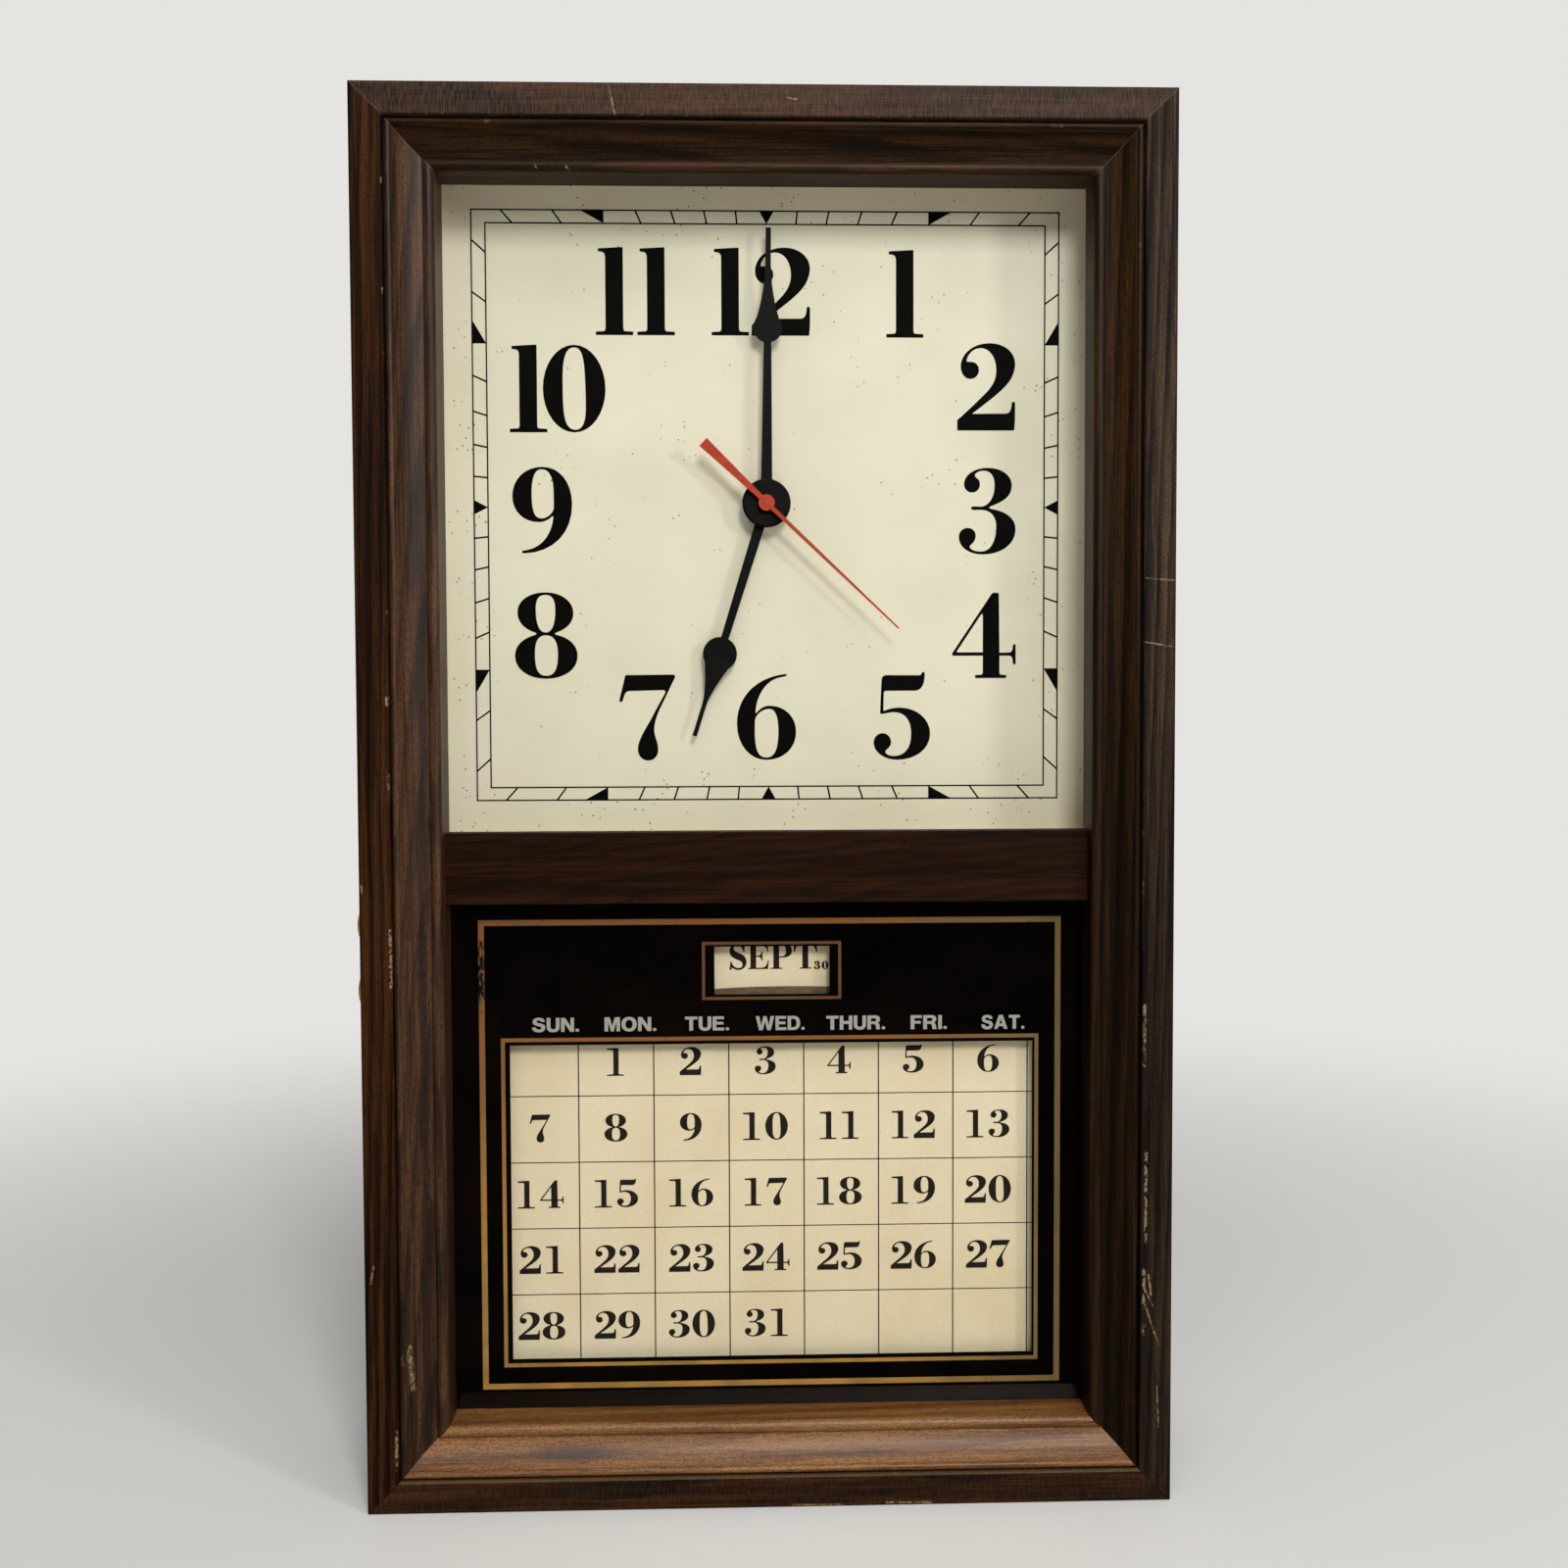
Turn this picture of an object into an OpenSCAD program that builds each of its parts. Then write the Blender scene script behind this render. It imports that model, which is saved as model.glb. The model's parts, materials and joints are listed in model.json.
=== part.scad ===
// Calendar wall clock: a mitred wooden case with a square dial over a paper calendar.
// X is to the right, Y into the wall, Z up. The origin is the centre of the bottom face.
// All sizes are in millimetres.

/* [Case] */
// Width of the case
case_w = 320; // [270:1:420]
// Height of the case
case_h = 558; // [520:1:680]
// Depth of the case from its front edge to the wall
case_d = 82; // [78:1:110]
// Thickness of the case boards
board_t = 12.7; // [10:0.1:16]
// Radius that eases the outer front edge of the boards
ease_outer = 1.2; // [0.4:0.1:2]
// Radius that eases the inner front edge of the boards
ease_inner = 0.8; // [0.4:0.1:1.5]

/* [Moulding] */
// Width of the moulding inside the case boards
mould_w = 18.1; // [17:0.1:24]
// Depth from the case front to the floor of the quirk beside the board
quirk_set = 4; // [3.6:0.1:6]
// Width of the quirk
quirk_w = 0.5; // [0.4:0.1:1]
// Depth from the case front to the crest of the outer nose
nose_set = 2; // [1.4:0.1:2.4]
// Radius of the outer nose
nose_r = 1.4; // [1:0.1:1.8]
// Hollow of the scoop below its chord
scoop_sink = 1.5; // [1:0.1:2]
// Radius of the bead along the sight edge
bead_r = 2.4; // [1.8:0.1:2.8]
// Depth from the case front to the crest of the bead
bead_set = 8.4; // [7:0.1:10]

/* [Middle rail] */
// Height of the middle rail
rail_h = 28.8; // [24:0.1:40]
// Depth from the case front to the face of the middle rail
rail_set = 16; // [13:0.1:20]
// Radius that eases the front edges of the middle rail
rail_ease = 0.6; // [0.3:0.1:1.5]
// How far each pane laps behind the middle rail
rail_lap = 7; // [4:0.1:9]

/* [Glass] */
// Depth from the case front to the glass
glass_set = 25.7; // [23:0.1:30]
// Thickness of the glass
glass_t = 2.4; // [2:0.1:3]
// Width of the rabbet that holds the glass
rabbet_w = 9.5; // [6:0.1:12]
// Play of the glass in its rabbet
glass_play = 0.5; // [0.2:0.1:1]
// Thickness of the black coat on the back of the calendar glass
coat_t = 0.2; // [0.1:0.05:0.3]

/* [Cleats] */
// Width of the cleats that hold the glass and the dial
cleat_w = 11; // [9:0.1:14]
// Height of the cross cleat behind the middle rail
cross_h = 20; // [16:0.1:24]

/* [Dial] */
// Depth from the case front to the face of the dial
dial_set = 44; // [42:0.1:50]
// Thickness of the dial plate
dial_t = 2; // [1:0.1:3]
// How far the hand shaft stands above the middle of the dial window
dial_rise = 4.2; // [0:0.1:8]
// Margin between the dial plate and the case boards
dial_margin = 4; // [2:0.1:6]

/* [Movement] */
// Width of the movement
move_w = 56; // [55:1:70]
// Height of the movement above the hand shaft
move_up = 28; // [26:1:34]
// Height of the movement below the hand shaft
move_down = 32; // [31:1:40]
// Depth of the movement
move_d = 16; // [16:0.5:24]
// Wall of the movement's shells
shell_t = 1.5; // [1:0.1:2]
// Corner radius of the movement
move_r = 4; // [2:0.5:6]
// Radius of the threaded bush
bush_r = 4; // [3.9:0.1:5]
// How far the bush stands out of the dial face
bush_out = 3.6; // [3.4:0.1:5]
// Radius of the hour pipe
pipe_r = 2.6; // [2.5:0.05:3]
// Radius of the minute arbor
arbor_r = 1.8; // [1.6:0.05:1.9]
// Radius of the seconds arbor
seconds_r = 0.55; // [0.4:0.05:0.8]
// Running clearance of arbors in their bores
run_gap = 0.05; // [0.02:0.01:0.08]
// Diameter of the battery cell
cell_d = 14.2; // [13.5:0.1:14.5]
// Length of the battery cell without its stud
cell_len = 49; // [44:0.1:49.5]

/* [Motion work] */
// Distance between the hand shaft and the setting shaft
gear_centre = 12; // [11.5:0.1:12.5]
// Teeth of the cannon pinion on the minute arbor
cannon_teeth = 12; // [12:1:12]
// Teeth of the wheel on the setting shaft
motion_teeth = 36; // [36:1:36]
// Teeth of the pinion on the setting shaft
pinion_teeth = 10; // [10:1:10]
// Teeth of the hour wheel
hour_teeth = 40; // [40:1:40]
// Thickness of the wheels
wheel_t = 1; // [0.8:0.1:1.2]
// Play between meshing teeth on the pitch circle
backlash = 0.16; // [0.12:0.01:0.24]

/* [Hands] */
// Thickness of the hands
hand_t = 0.5; // [0.4:0.1:0.8]
// Length of the hour hand
hour_len = 99.7; // [80:0.1:105]
// Length of the minute hand
minute_len = 111.2; // [90:0.1:118]
// Radius of the hour hand's pear
hour_pear = 7; // [5:0.1:8]
// Length of the hour hand's pear beyond its centre
hour_taper = 21; // [16:0.5:28]
// Radius of the minute hand's pear
minute_pear = 5.9; // [4.5:0.1:7]
// Length of the minute hand's pear beyond its centre
minute_taper = 28.6; // [20:0.1:36]
// Length of the second hand
second_len = 74.5; // [60:0.1:100]
// Length of the second hand's tail
second_tail = 35.5; // [25:0.1:45]
// Radius of the disc over the middle of the hands
boss_r = 9.9; // [7:0.1:12]
// Direction of the hour hand, clockwise from twelve
hour_angle = 197.5; // [0:0.5:360]
// Direction of the minute hand, clockwise from twelve
minute_angle = 0.6; // [0:0.1:360]
// Direction of the second hand, clockwise from twelve
second_angle = 133.5; // [0:0.5:360]

/* [Calendar] */
// Depth from the glass to the face of the paper
paper_gap = 5.9; // [4:0.1:8]
// Thickness of the paper
paper_t = 0.2; // [0.1:0.05:0.3]
// Width of the date sheet
date_paper_w = 220; // [200:1:230]
// Width of the month strip
month_paper_w = 60; // [52:1:80]
// Width of the date window
date_window_w = 214.7; // [195:0.1:216]
// How far both windows stand to the right of the middle
window_shift = 1.4; // [-2:0.1:2]
// Width of the month window
month_window_w = 47.2; // [40:0.1:50]
// Height of the month window
month_window_h = 19.7; // [14:0.1:24]
// Radius of the bare drum of a roller
drum_r = 5.6; // [4.5:0.1:6]
// Radius of a roller with its wound paper
wound_r = 6.5; // [6.2:0.1:7]
// Radius of the roller flanges
flange_r = 7.3; // [7.2:0.1:8]
// Thickness of the roller flanges
flange_t = 1.5; // [1:0.1:2]
// Radius of the roller spindles
spindle_r = 2.5; // [2:0.1:3]
// Radius of the calendar knobs
knob_r = 7; // [6:0.1:7.5]
// How far the knobs stand out of the case
knob_out = 9; // [8:0.1:12]

/* [Brackets] */
// Thickness of the calendar bracket
bracket_t = 2.5; // [2:0.1:3]
// Depth of the calendar bracket
bracket_d = 25; // [22:0.5:30]
// Radius of the bearing bosses
boss_bearing_r = 5; // [4:0.1:6]
// Length of the bearing bosses
bearing_len = 8; // [6:0.5:12]
// Thickness of the platen behind the date sheet
platen_t = 0.8; // [0.6:0.1:1.2]

/* [Back] */
// Thickness of the back panel
back_t = 3; // [2.5:0.1:4]
// Width of the battens under the back panel
batten_w = 10; // [8:0.5:14]
// Side of the square opening behind the movement
access_w = 96; // [80:1:110]
// Radius of the corners of that opening
access_r = 8; // [4:0.5:12]
// Height of the hanging rail
hang_rail_h = 43; // [36:1:50]
// Depth of the hanging rail
hang_rail_d = 12; // [11:0.5:16]
// Radius of the keyhole's entry
key_r = 5; // [4.5:0.1:6]
// Width of the keyhole's slot
key_slot = 4.8; // [4:0.1:5]
// Radius of the wood screws
screw_r = 1.5; // [1.2:0.1:1.6]
// Length of the wood screws in the wood
screw_grip = 7; // [6:0.1:8]

/* [Hidden] */
$fn = 64;
fit = 0.03;
gap = 0.3;
play = 0.5;
coat_edge = 1;

// Case and window planes
front = -case_d / 2;
wall = case_d / 2;
inner_x = case_w / 2 - board_t;
inner_bottom = board_t;
inner_top = case_h - board_t;
sight_x = inner_x - mould_w;
sight_bottom = inner_bottom + mould_w;
sight_top = inner_top - mould_w;
rail_top = sight_top - 2 * sight_x;
rail_bottom = rail_top - rail_h;
rail_mid = (rail_top + rail_bottom) / 2;
glass_y = front + glass_set;
glass_back = glass_y + glass_t;
dial_y = front + dial_set;
dial_back = dial_y + dial_t;
shaft_z = (sight_top + rail_top) / 2 + dial_rise;

// Cleats
cross_bottom = rail_mid - cross_h / 2;
cross_top = rail_mid + cross_h / 2;
cleat_x = inner_x - cleat_w;

// Dial plate
plate_x = inner_x - dial_margin;
plate_bottom = rail_mid - cross_h / 2 + dial_margin;
plate_top = inner_top - dial_margin;
dial_screw_x = inner_x - cleat_w / 2;
dial_screw_zs = [plate_bottom + 14, (plate_bottom + plate_top) / 2, plate_top - 14];

// Movement, with y measured from the case's middle plane
move_front = dial_back;
move_back = move_front + move_d;
room_front = move_front + shell_t;
room_back = move_back - shell_t;
cell_r = cell_d / 2;
cell_z = -move_down + shell_t + cell_r + gap;
bay_top = cell_z + cell_r + gap;
cell_y = room_front + cell_r + gap;
bay_x = move_w / 2 - shell_t;
stud_len = 1.2;
contact_t = 0.4;
cell_x = bay_x - contact_t - 0.1 - gap - stud_len - cell_len / 2;

// Motion work, from the front wall of the movement backwards
bush_flange_t = 0.8;
bush_front = dial_y - bush_out;
hour_wheel_y = room_front + bush_flange_t + gap;
hour_wheel_back = hour_wheel_y + wheel_t;
motion_wheel_y = hour_wheel_back + 0.8;
motion_wheel_back = motion_wheel_y + wheel_t;
cannon_y = hour_wheel_back + 0.6;
cannon_back = motion_wheel_back + 0.4;
arbor_back = cannon_back + 1.6;
cannon_module = 2 * gear_centre / (cannon_teeth + motion_teeth);
hour_module = 2 * gear_centre / (hour_teeth + pinion_teeth);
setting_turn = 45;
setting_x = -gear_centre * sin(setting_turn);
setting_dz = gear_centre * cos(setting_turn);
setting_r = 1.5;
pivot_r = 0.8;
setting_knob_r = 8;
setting_knob_t = 3.5;
setting_knob_gap = 0.5;

// Hands, from the dial forwards
washer_t = 0.6;
nut_t = 2.2;
hub_gap = 0.4;
collet_t = 0.8;
hour_hand_y = bush_front - hub_gap - collet_t;
hour_pipe_front = hour_hand_y - hand_t - 0.3;
minute_hand_y = hour_pipe_front - hub_gap - collet_t;
boss_t = 1.2;
boss_front = minute_hand_y - hand_t - boss_t;
second_hand_y = boss_front - hub_gap - 1.5;
seconds_front = second_hand_y - hand_t - 0.5;

// Calendar
paper_front = glass_back + paper_gap;
paper_back = paper_front + paper_t;
roller_y = paper_back + gap + wound_r;
month_upper_z = rail_bottom - flange_r - 3.2;
month_window_top = month_upper_z - 8.6;
month_window_bottom = month_window_top - month_window_h;
month_lower_z = month_window_bottom + 1.2;
date_upper_z = month_lower_z - 2 * flange_r - 0.8;
date_window_top = date_upper_z - 6.1;
date_lower_z = sight_bottom + flange_r + 3.9;
date_window_bottom = date_lower_z + 8.65;
bearing_x = inner_x - bracket_t - bearing_len;
knob_face = case_w / 2 + play;
knob_end = case_w / 2 + knob_out;
spindle_end = knob_end - 2;
spindle_stop = inner_x - play;

// Brackets and platen
bracket_bottom = inner_bottom + cleat_w + 0.8;
bracket_top = cross_bottom - 0.8;
bracket_back = glass_back + bracket_d;
bracket_x = inner_x - bracket_t;
bracket_screw_y = bracket_back - 5.5;
platen_y = paper_back + gap;
platen_bottom = date_lower_z + flange_r + 4;
platen_top = date_upper_z - flange_r - 4;
platen_x = bracket_x - gap;
groove_gap = 0.1;
groove_rib = 1.2;
groove_deep = 4;

// Back and hanger
back_y = wall - back_t;
batten_y = back_y - batten_w;
hang_bottom = inner_top - hang_rail_h;
hang_y = wall - hang_rail_d;
panel_lap = 8;
panel_top = hang_bottom + panel_lap;
panel_x = inner_x - gap;
panel_bottom = inner_bottom + gap;
panel_zs = [panel_bottom + 45, (panel_bottom + panel_top) / 2 - 30, panel_top - 110];
hanger_w = 46;
hanger_h = 22;
hanger_t = 1.2;
hanger_z = (panel_top + inner_top) / 2;
key_rise = 7;
key_z = hanger_z - key_rise / 2 - 0.5;
pocket_d = 7.5;

// Shapes that several pieces share
module flat(y0, y1) translate([0, y1, 0]) rotate([90, 0, 0]) linear_extrude(y1 - y0) children();
module rod_y(r, y0, y1) flat(y0, y1) circle(r);
module rod_x(r, x0, x1) translate([x0, 0, 0]) rotate([0, 90, 0]) cylinder(r = r, h = x1 - x0);
module block(x, y, z) translate([x[0], y[0], z[0]]) cube([x[1] - x[0], y[1] - y[0], z[1] - z[0]]);

// The waste outside a rounded corner whose material lies to +x and +y before the turn
module corner_waste(at, turn, r) translate(at) rotate(turn) difference() {
    translate([-1, -1]) square(r + 1);
    translate([r, r]) circle(r);
}

module rounded_rect(x, y, r) difference() {
    translate([x[0], y[0]]) square([x[1] - x[0], y[1] - y[0]]);
    corner_waste([x[0], y[0]], 0, r);
    corner_waste([x[1], y[0]], 90, r);
    corner_waste([x[1], y[1]], 180, r);
    corner_waste([x[0], y[1]], 270, r);
}

// An arc through a and b that stands s off its chord: its radius, and the middle of the
// chord moved along the left normal by k
function arc_r(a, b, s) = let (c = norm(b - a)) c * c / (8 * s) + s / 2;
function off_chord(a, b, k) = let (c = norm(b - a))
    (a + b) / 2 + k * [a[1] - b[1], b[0] - a[0]] / c;

// A stick of a mitred frame: the children are its section, with depth along x and width
// along y. It lies along X with its outer face down.
module mitred_stick(len, w) intersection() {
    rotate([90, 0, 90]) linear_extrude(len, center = true) children();
    rotate([90, 0, 0]) linear_extrude(3 * case_d, center = true)
        polygon([[-len / 2, 0], [len / 2, 0], [len / 2 - w, w], [w - len / 2, w]]);
}
module on_bottom(z) translate([0, 0, z]) children();
module on_top(z) translate([0, 0, z]) rotate([0, 180, 0]) children();
module on_left(x) translate([-x, 0, case_h / 2]) rotate([0, 90, 0]) children();
module on_right(x) translate([x, 0, case_h / 2]) rotate([0, -90, 0]) children();

// Screws stand on the origin with their heads up and a crossed slot
module cross_slot(r) for (turn = [0, 90]) rotate(turn)
    translate([-r * 0.6, -r * 0.12, -r * 0.35]) cube([r * 1.2, r * 0.24, r]);
module pan_screw(r, len) difference() {
    union() {
        translate([0, 0, -len]) cylinder(r = r, h = len + 0.2);
        cylinder(r = 2 * r, h = 0.7 * r);
        translate([0, 0, 0.7 * r]) cylinder(r1 = 2 * r, r2 = 1.4 * r, h = 0.4 * r);
    }
    translate([0, 0, 1.1 * r]) cross_slot(1.8 * r);
}
module flat_screw(r, len) difference() {
    union() {
        translate([0, 0, -len]) cylinder(r = r, h = len);
        translate([0, 0, -1.2 * r]) cylinder(r1 = r, r2 = 2.1 * r, h = 1.2 * r);
    }
    cross_slot(1.8 * r);
}
module flat_screw_hole(r, depth) {
    translate([0, 0, -depth]) cylinder(r = r + fit, h = depth + 1);
    translate([0, 0, -1.2 * r]) cylinder(r1 = r + fit, r2 = 2.1 * r + fit, h = 1.2 * r);
    cylinder(r = 2.1 * r + fit, h = 1);
}
module facing_wall() rotate([-90, 0, 0]) children();

// Case boards
module board_profile() difference() {
    translate([front, 0]) square([case_d, board_t]);
    corner_waste([front, 0], 0, ease_outer);
    corner_waste([front, board_t], 270, ease_inner);
}
module spindle_hole(z, side) translate([side * inner_x, roller_y, z])
    rotate([0, 90, 0]) cylinder(r = spindle_r + 1.5, h = 3 * board_t, center = true);
module bracket_screw_spots(side) for (z = bracket_screw_zs())
    translate([side * bracket_x, bracket_screw_y, z]) rotate([0, -90 * side, 0]) children();
function bracket_screw_zs() = let (low = platen_bottom + 6, high = platen_top - 6)
    [low, (low + high) / 2, high];
module bracket_pilots(side) bracket_screw_spots(side)
    translate([0, 0, -bracket_t - 9]) cylinder(r = screw_r + fit, h = bracket_t + 10);

module case_top() color("#3d2415") on_top(case_h) mitred_stick(case_w, board_t) board_profile();
module case_bottom() color("#3d2415") mitred_stick(case_w, board_t) board_profile();
module case_left() color("#3d2415") difference() {
    on_left(case_w / 2) mitred_stick(case_h, board_t) board_profile();
    spindle_hole(month_upper_z, -1);
    spindle_hole(month_lower_z, -1);
    bracket_pilots(-1);
}
module case_right() color("#3d2415") difference() {
    on_right(case_w / 2) mitred_stick(case_h, board_t) board_profile();
    spindle_hole(date_upper_z, 1);
    spindle_hole(date_lower_z, 1);
    bracket_pilots(1);
}

// Moulding: a nose beside the board, a wide scoop and a bead, with a rabbet for the glass behind
module moulding_profile() translate([front, 0]) {
    nose_c = [nose_set + nose_r, quirk_w + 0.8 * nose_r];
    bead_c = [bead_set + bead_r, mould_w - bead_r];
    back = glass_set + glass_t;
    // the scoop ends inside the bead's circle, so that the bead is one piece with the rest
    scoop_a = nose_c + nose_r * [-sin(45), cos(45)];
    scoop_b = bead_c - 0.8 * bead_r * [0.2, 1];
    scoop_r = arc_r(scoop_a, scoop_b, scoop_sink);
    scoop_c = off_chord(scoop_a, scoop_b, scoop_r - scoop_sink);
    difference() {
        union() {
            translate([quirk_set, 0]) square([back - quirk_set, quirk_w]);
            intersection() {
                union() {
                    translate(nose_c) circle(nose_r, $fn = 48);
                    translate([nose_c[0], 0]) square([back - nose_c[0], mould_w]);
                }
                translate([0, quirk_w]) square([back, scoop_b[1] - quirk_w]);
            }
            translate([bead_c[0], scoop_b[1]]) square([back - bead_c[0], mould_w - scoop_b[1]]);
        }
        intersection() {
            translate(scoop_c) circle(scoop_r, $fn = 180);
            translate([0, scoop_a[1]]) square([back, mould_w]);
        }
        translate([glass_set, mould_w - rabbet_w]) square([back, rabbet_w + 1]);
    }
    translate(bead_c) circle(bead_r, $fn = 64);
}
module moulding_top() color("#4a2c18") on_top(inner_top)
    mitred_stick(2 * inner_x, mould_w) moulding_profile();
module moulding_bottom() color("#4a2c18") on_bottom(inner_bottom)
    mitred_stick(2 * inner_x, mould_w) moulding_profile();
module moulding_left() color("#4a2c18") on_left(inner_x)
    mitred_stick(inner_top - inner_bottom, mould_w) moulding_profile();
module moulding_right() color("#4a2c18") on_right(inner_x)
    mitred_stick(inner_top - inner_bottom, mould_w) moulding_profile();

// Middle rail, rabbeted above and below for the two panes, with a tongue at each end
module rail_profile() translate([front, rail_bottom]) difference() {
    translate([rail_set, 0]) square([glass_set + glass_t - rail_set, rail_h]);
    corner_waste([rail_set, 0], 0, rail_ease);
    corner_waste([rail_set, rail_h], 270, rail_ease);
    for (z = [-1, rail_h - rail_lap])
        translate([glass_set, z]) square([glass_t + 1, rail_lap + 1]);
}
module middle_rail() color("#3a2014") union() {
    rotate([90, 0, 90]) linear_extrude(2 * sight_x, center = true) rail_profile();
    tongue_x = sight_x + rabbet_w - glass_play;
    block([-tongue_x, tongue_x], [glass_y, glass_back],
        [rail_bottom + rail_lap, rail_top - rail_lap]);
}

// Panes
pane_x = sight_x + rabbet_w - glass_play;
pane_edge = rabbet_w - glass_play;
pane_lap = rail_lap - glass_play;
module dial_glass() color("lightblue", 0.3) block([-pane_x, pane_x], [glass_y, glass_back],
    [rail_top - pane_lap, sight_top + pane_edge]);
module calendar_glass() color("lightblue", 0.3) block([-pane_x, pane_x], [glass_y, glass_back],
    [sight_bottom - pane_edge, rail_bottom + pane_lap]);
coat_x = min(cleat_x, pane_x) - coat_edge;
coat_bottom = max(inner_bottom + cleat_w, sight_bottom - pane_edge) + coat_edge;
coat_top = min(cross_bottom, rail_bottom + pane_lap) - coat_edge;
module calendar_mask() color("#0d0a0a") difference() {
    block([-coat_x, coat_x], [glass_back, glass_back + coat_t], [coat_bottom, coat_top]);
    translate([window_shift, 0, 0]) {
        block([-date_window_w / 2, date_window_w / 2], [glass_back - 1, glass_back + 1],
            [date_window_bottom, date_window_top]);
        block([-month_window_w / 2, month_window_w / 2], [glass_back - 1, glass_back + 1],
            [month_window_bottom, month_window_top]);
    }
}

// Cleats behind the panes
module dial_screw_spots() for (side = [-1, 1], z = dial_screw_zs)
    translate([side * dial_screw_x, dial_back, z]) facing_wall() children();
module dial_cleats() color("#b98d5c") difference() {
    union() {
        for (side = [-1, 1]) translate([side * (inner_x + cleat_x) / 2, 0, 0])
            block([-cleat_w / 2, cleat_w / 2], [glass_back, dial_y], [cross_bottom, inner_top]);
        block([fit - cleat_x, cleat_x - fit], [glass_back, dial_y], [inner_top - cleat_w, inner_top]);
    }
    dial_screw_spots() translate([0, 0, -dial_t - 10]) cylinder(r = screw_r + fit, h = 11);
}
module cross_cleat() color("#b98d5c")
    block([fit - cleat_x, cleat_x - fit], [glass_back, dial_y], [cross_bottom, cross_top]);
module bottom_cleat() color("#b98d5c")
    block([-inner_x, inner_x], [glass_back, dial_y], [inner_bottom, inner_bottom + cleat_w]);

// Dial
module dial_plate() color("#efe9d0") difference() {
    block([-plate_x, plate_x], [dial_y, dial_back], [plate_bottom, plate_top]);
    translate([0, 0, shaft_z]) rod_y(bush_r + gap, dial_y - 1, dial_back + 1);
    dial_screw_spots() translate([0, 0, -dial_t - 1]) cylinder(r = screw_r + gap, h = dial_t + 2);
}
module dial_screws() color("#c9b37a") dial_screw_spots() pan_screw(screw_r, dial_t + screw_grip);

// Movement
module at_shaft() translate([0, 0, shaft_z]) children();
module at_setting() translate([setting_x, 0, shaft_z + setting_dz]) children();
module movement_outline(inset) rounded_rect([-move_w / 2 + inset, move_w / 2 - inset],
    [-move_down + inset, move_up - inset], max(0.5, move_r - inset));
module gear_room(inset) rounded_rect([-bay_x + inset, bay_x - inset],
    [bay_top + shell_t + inset, move_up - shell_t - inset], max(0.5, move_r - shell_t));
module battery_bay() rounded_rect([-bay_x, bay_x], [-move_down + shell_t, bay_top], 0.5);
module movement_housing() color("#26241f") at_shaft() difference() {
    flat(move_front, move_back) movement_outline(0);
    flat(room_front, move_back + 1) gear_room(0);
    flat(room_front, move_back + 1) battery_bay();
    rod_y(bush_r + fit, move_front - 1, room_front + 1);
    translate([setting_x, 0, setting_dz]) rod_y(pivot_r + run_gap, room_front - 1.1, room_front + 1);
}
module movement_cover() color("#3a3833") difference() {
    at_shaft() flat(room_back, move_back) gear_room(0.1);
    at_setting() rod_y(setting_r + run_gap, room_back - 1, move_back + 1);
    at_shaft() rod_y(seconds_r + run_gap, room_back - 1, room_back + 0.8);
}
module threaded_bush() color("#c8a24a") at_shaft() difference() {
    union() {
        rod_y(bush_r, bush_front, room_front + bush_flange_t);
        rod_y(bush_r + 2, room_front, room_front + bush_flange_t);
    }
    rod_y(pipe_r + run_gap, bush_front - 1, room_front + 2);
}
module dial_washer() color("#b8923f") at_shaft() difference() {
    rod_y(bush_r + 4, dial_y - washer_t, dial_y);
    rod_y(bush_r + fit, dial_y - washer_t - 1, dial_y + 1);
}
module hex_nut() color("#c8a24a") at_shaft() difference() {
    flat(dial_y - washer_t - nut_t, dial_y - washer_t) circle(bush_r * 1.73, $fn = 6);
    rod_y(bush_r + fit, dial_y - washer_t - nut_t - 1, dial_y);
}
module battery_cell() color("#8a6a2a") translate([cell_x, cell_y, shaft_z + cell_z]) union() {
    rod_x(cell_r, -cell_len / 2, cell_len / 2);
    rod_x(cell_r * 0.38, -cell_len / 2, cell_len / 2 + stud_len);
}
module battery_contacts() color("#c9c6bd") translate([0, cell_y, shaft_z + cell_z]) {
    crest = cell_x - cell_len / 2 - gap;
    foot = 0.1 - bay_x;
    block([bay_x - contact_t - 0.1, bay_x - 0.1], [-5, 5], [-4.5, 4.5]);
    rotate([90, 0, 0]) linear_extrude(6, center = true)
        polygon([[foot, -6], [foot + contact_t, -6], [crest, 0], [foot + contact_t, 6],
            [foot, 6], [crest - contact_t, 0]]);
}
module circuit_board() color("#2f6b3c") at_shaft()
    block([14, bay_x - 1], [room_back - gap - 1.2, room_back - gap],
        [bay_top + shell_t + 1, move_up - shell_t - 2]);
module drive_coil() color("#b4642c") translate([19, room_front + 4.2, shaft_z + 6]) {
    for (z = [-11, 10]) translate([0, 0, z]) cylinder(r = 4, h = 1);
    translate([0, 0, -10]) cylinder(r = 3, h = 20);
}

// Involute teeth: roll is the involute of the pressure angle at radius r on base radius rb
function roll(rb, r) = r <= rb ? 0 : let (a = acos(rb / r)) tan(a) * 180 / PI - a;
module gear_outline(teeth, size, addendum = 0.95) {
    pitch = teeth * size / 2;
    base = pitch * cos(20);
    half = 90 / teeth - (backlash / 2) / pitch * 90 / PI;
    radii = [pitch - 1.3 * size, max(base, pitch - 1.3 * size), (base + pitch) / 2, pitch,
        pitch + addendum * size / 2, pitch + addendum * size];
    side = [for (r = radii) [r, half + roll(base, pitch) - roll(base, r)]];
    polygon([for (k = [0 : teeth - 1]) each concat(
        [for (i = [0 : 5]) side[i][0] * [cos(k * 360 / teeth - side[i][1]),
            sin(k * 360 / teeth - side[i][1])]],
        [for (i = [5 : -1 : 0]) side[i][0] * [cos(k * 360 / teeth + side[i][1]),
            sin(k * 360 / teeth + side[i][1])]])]);
}
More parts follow.
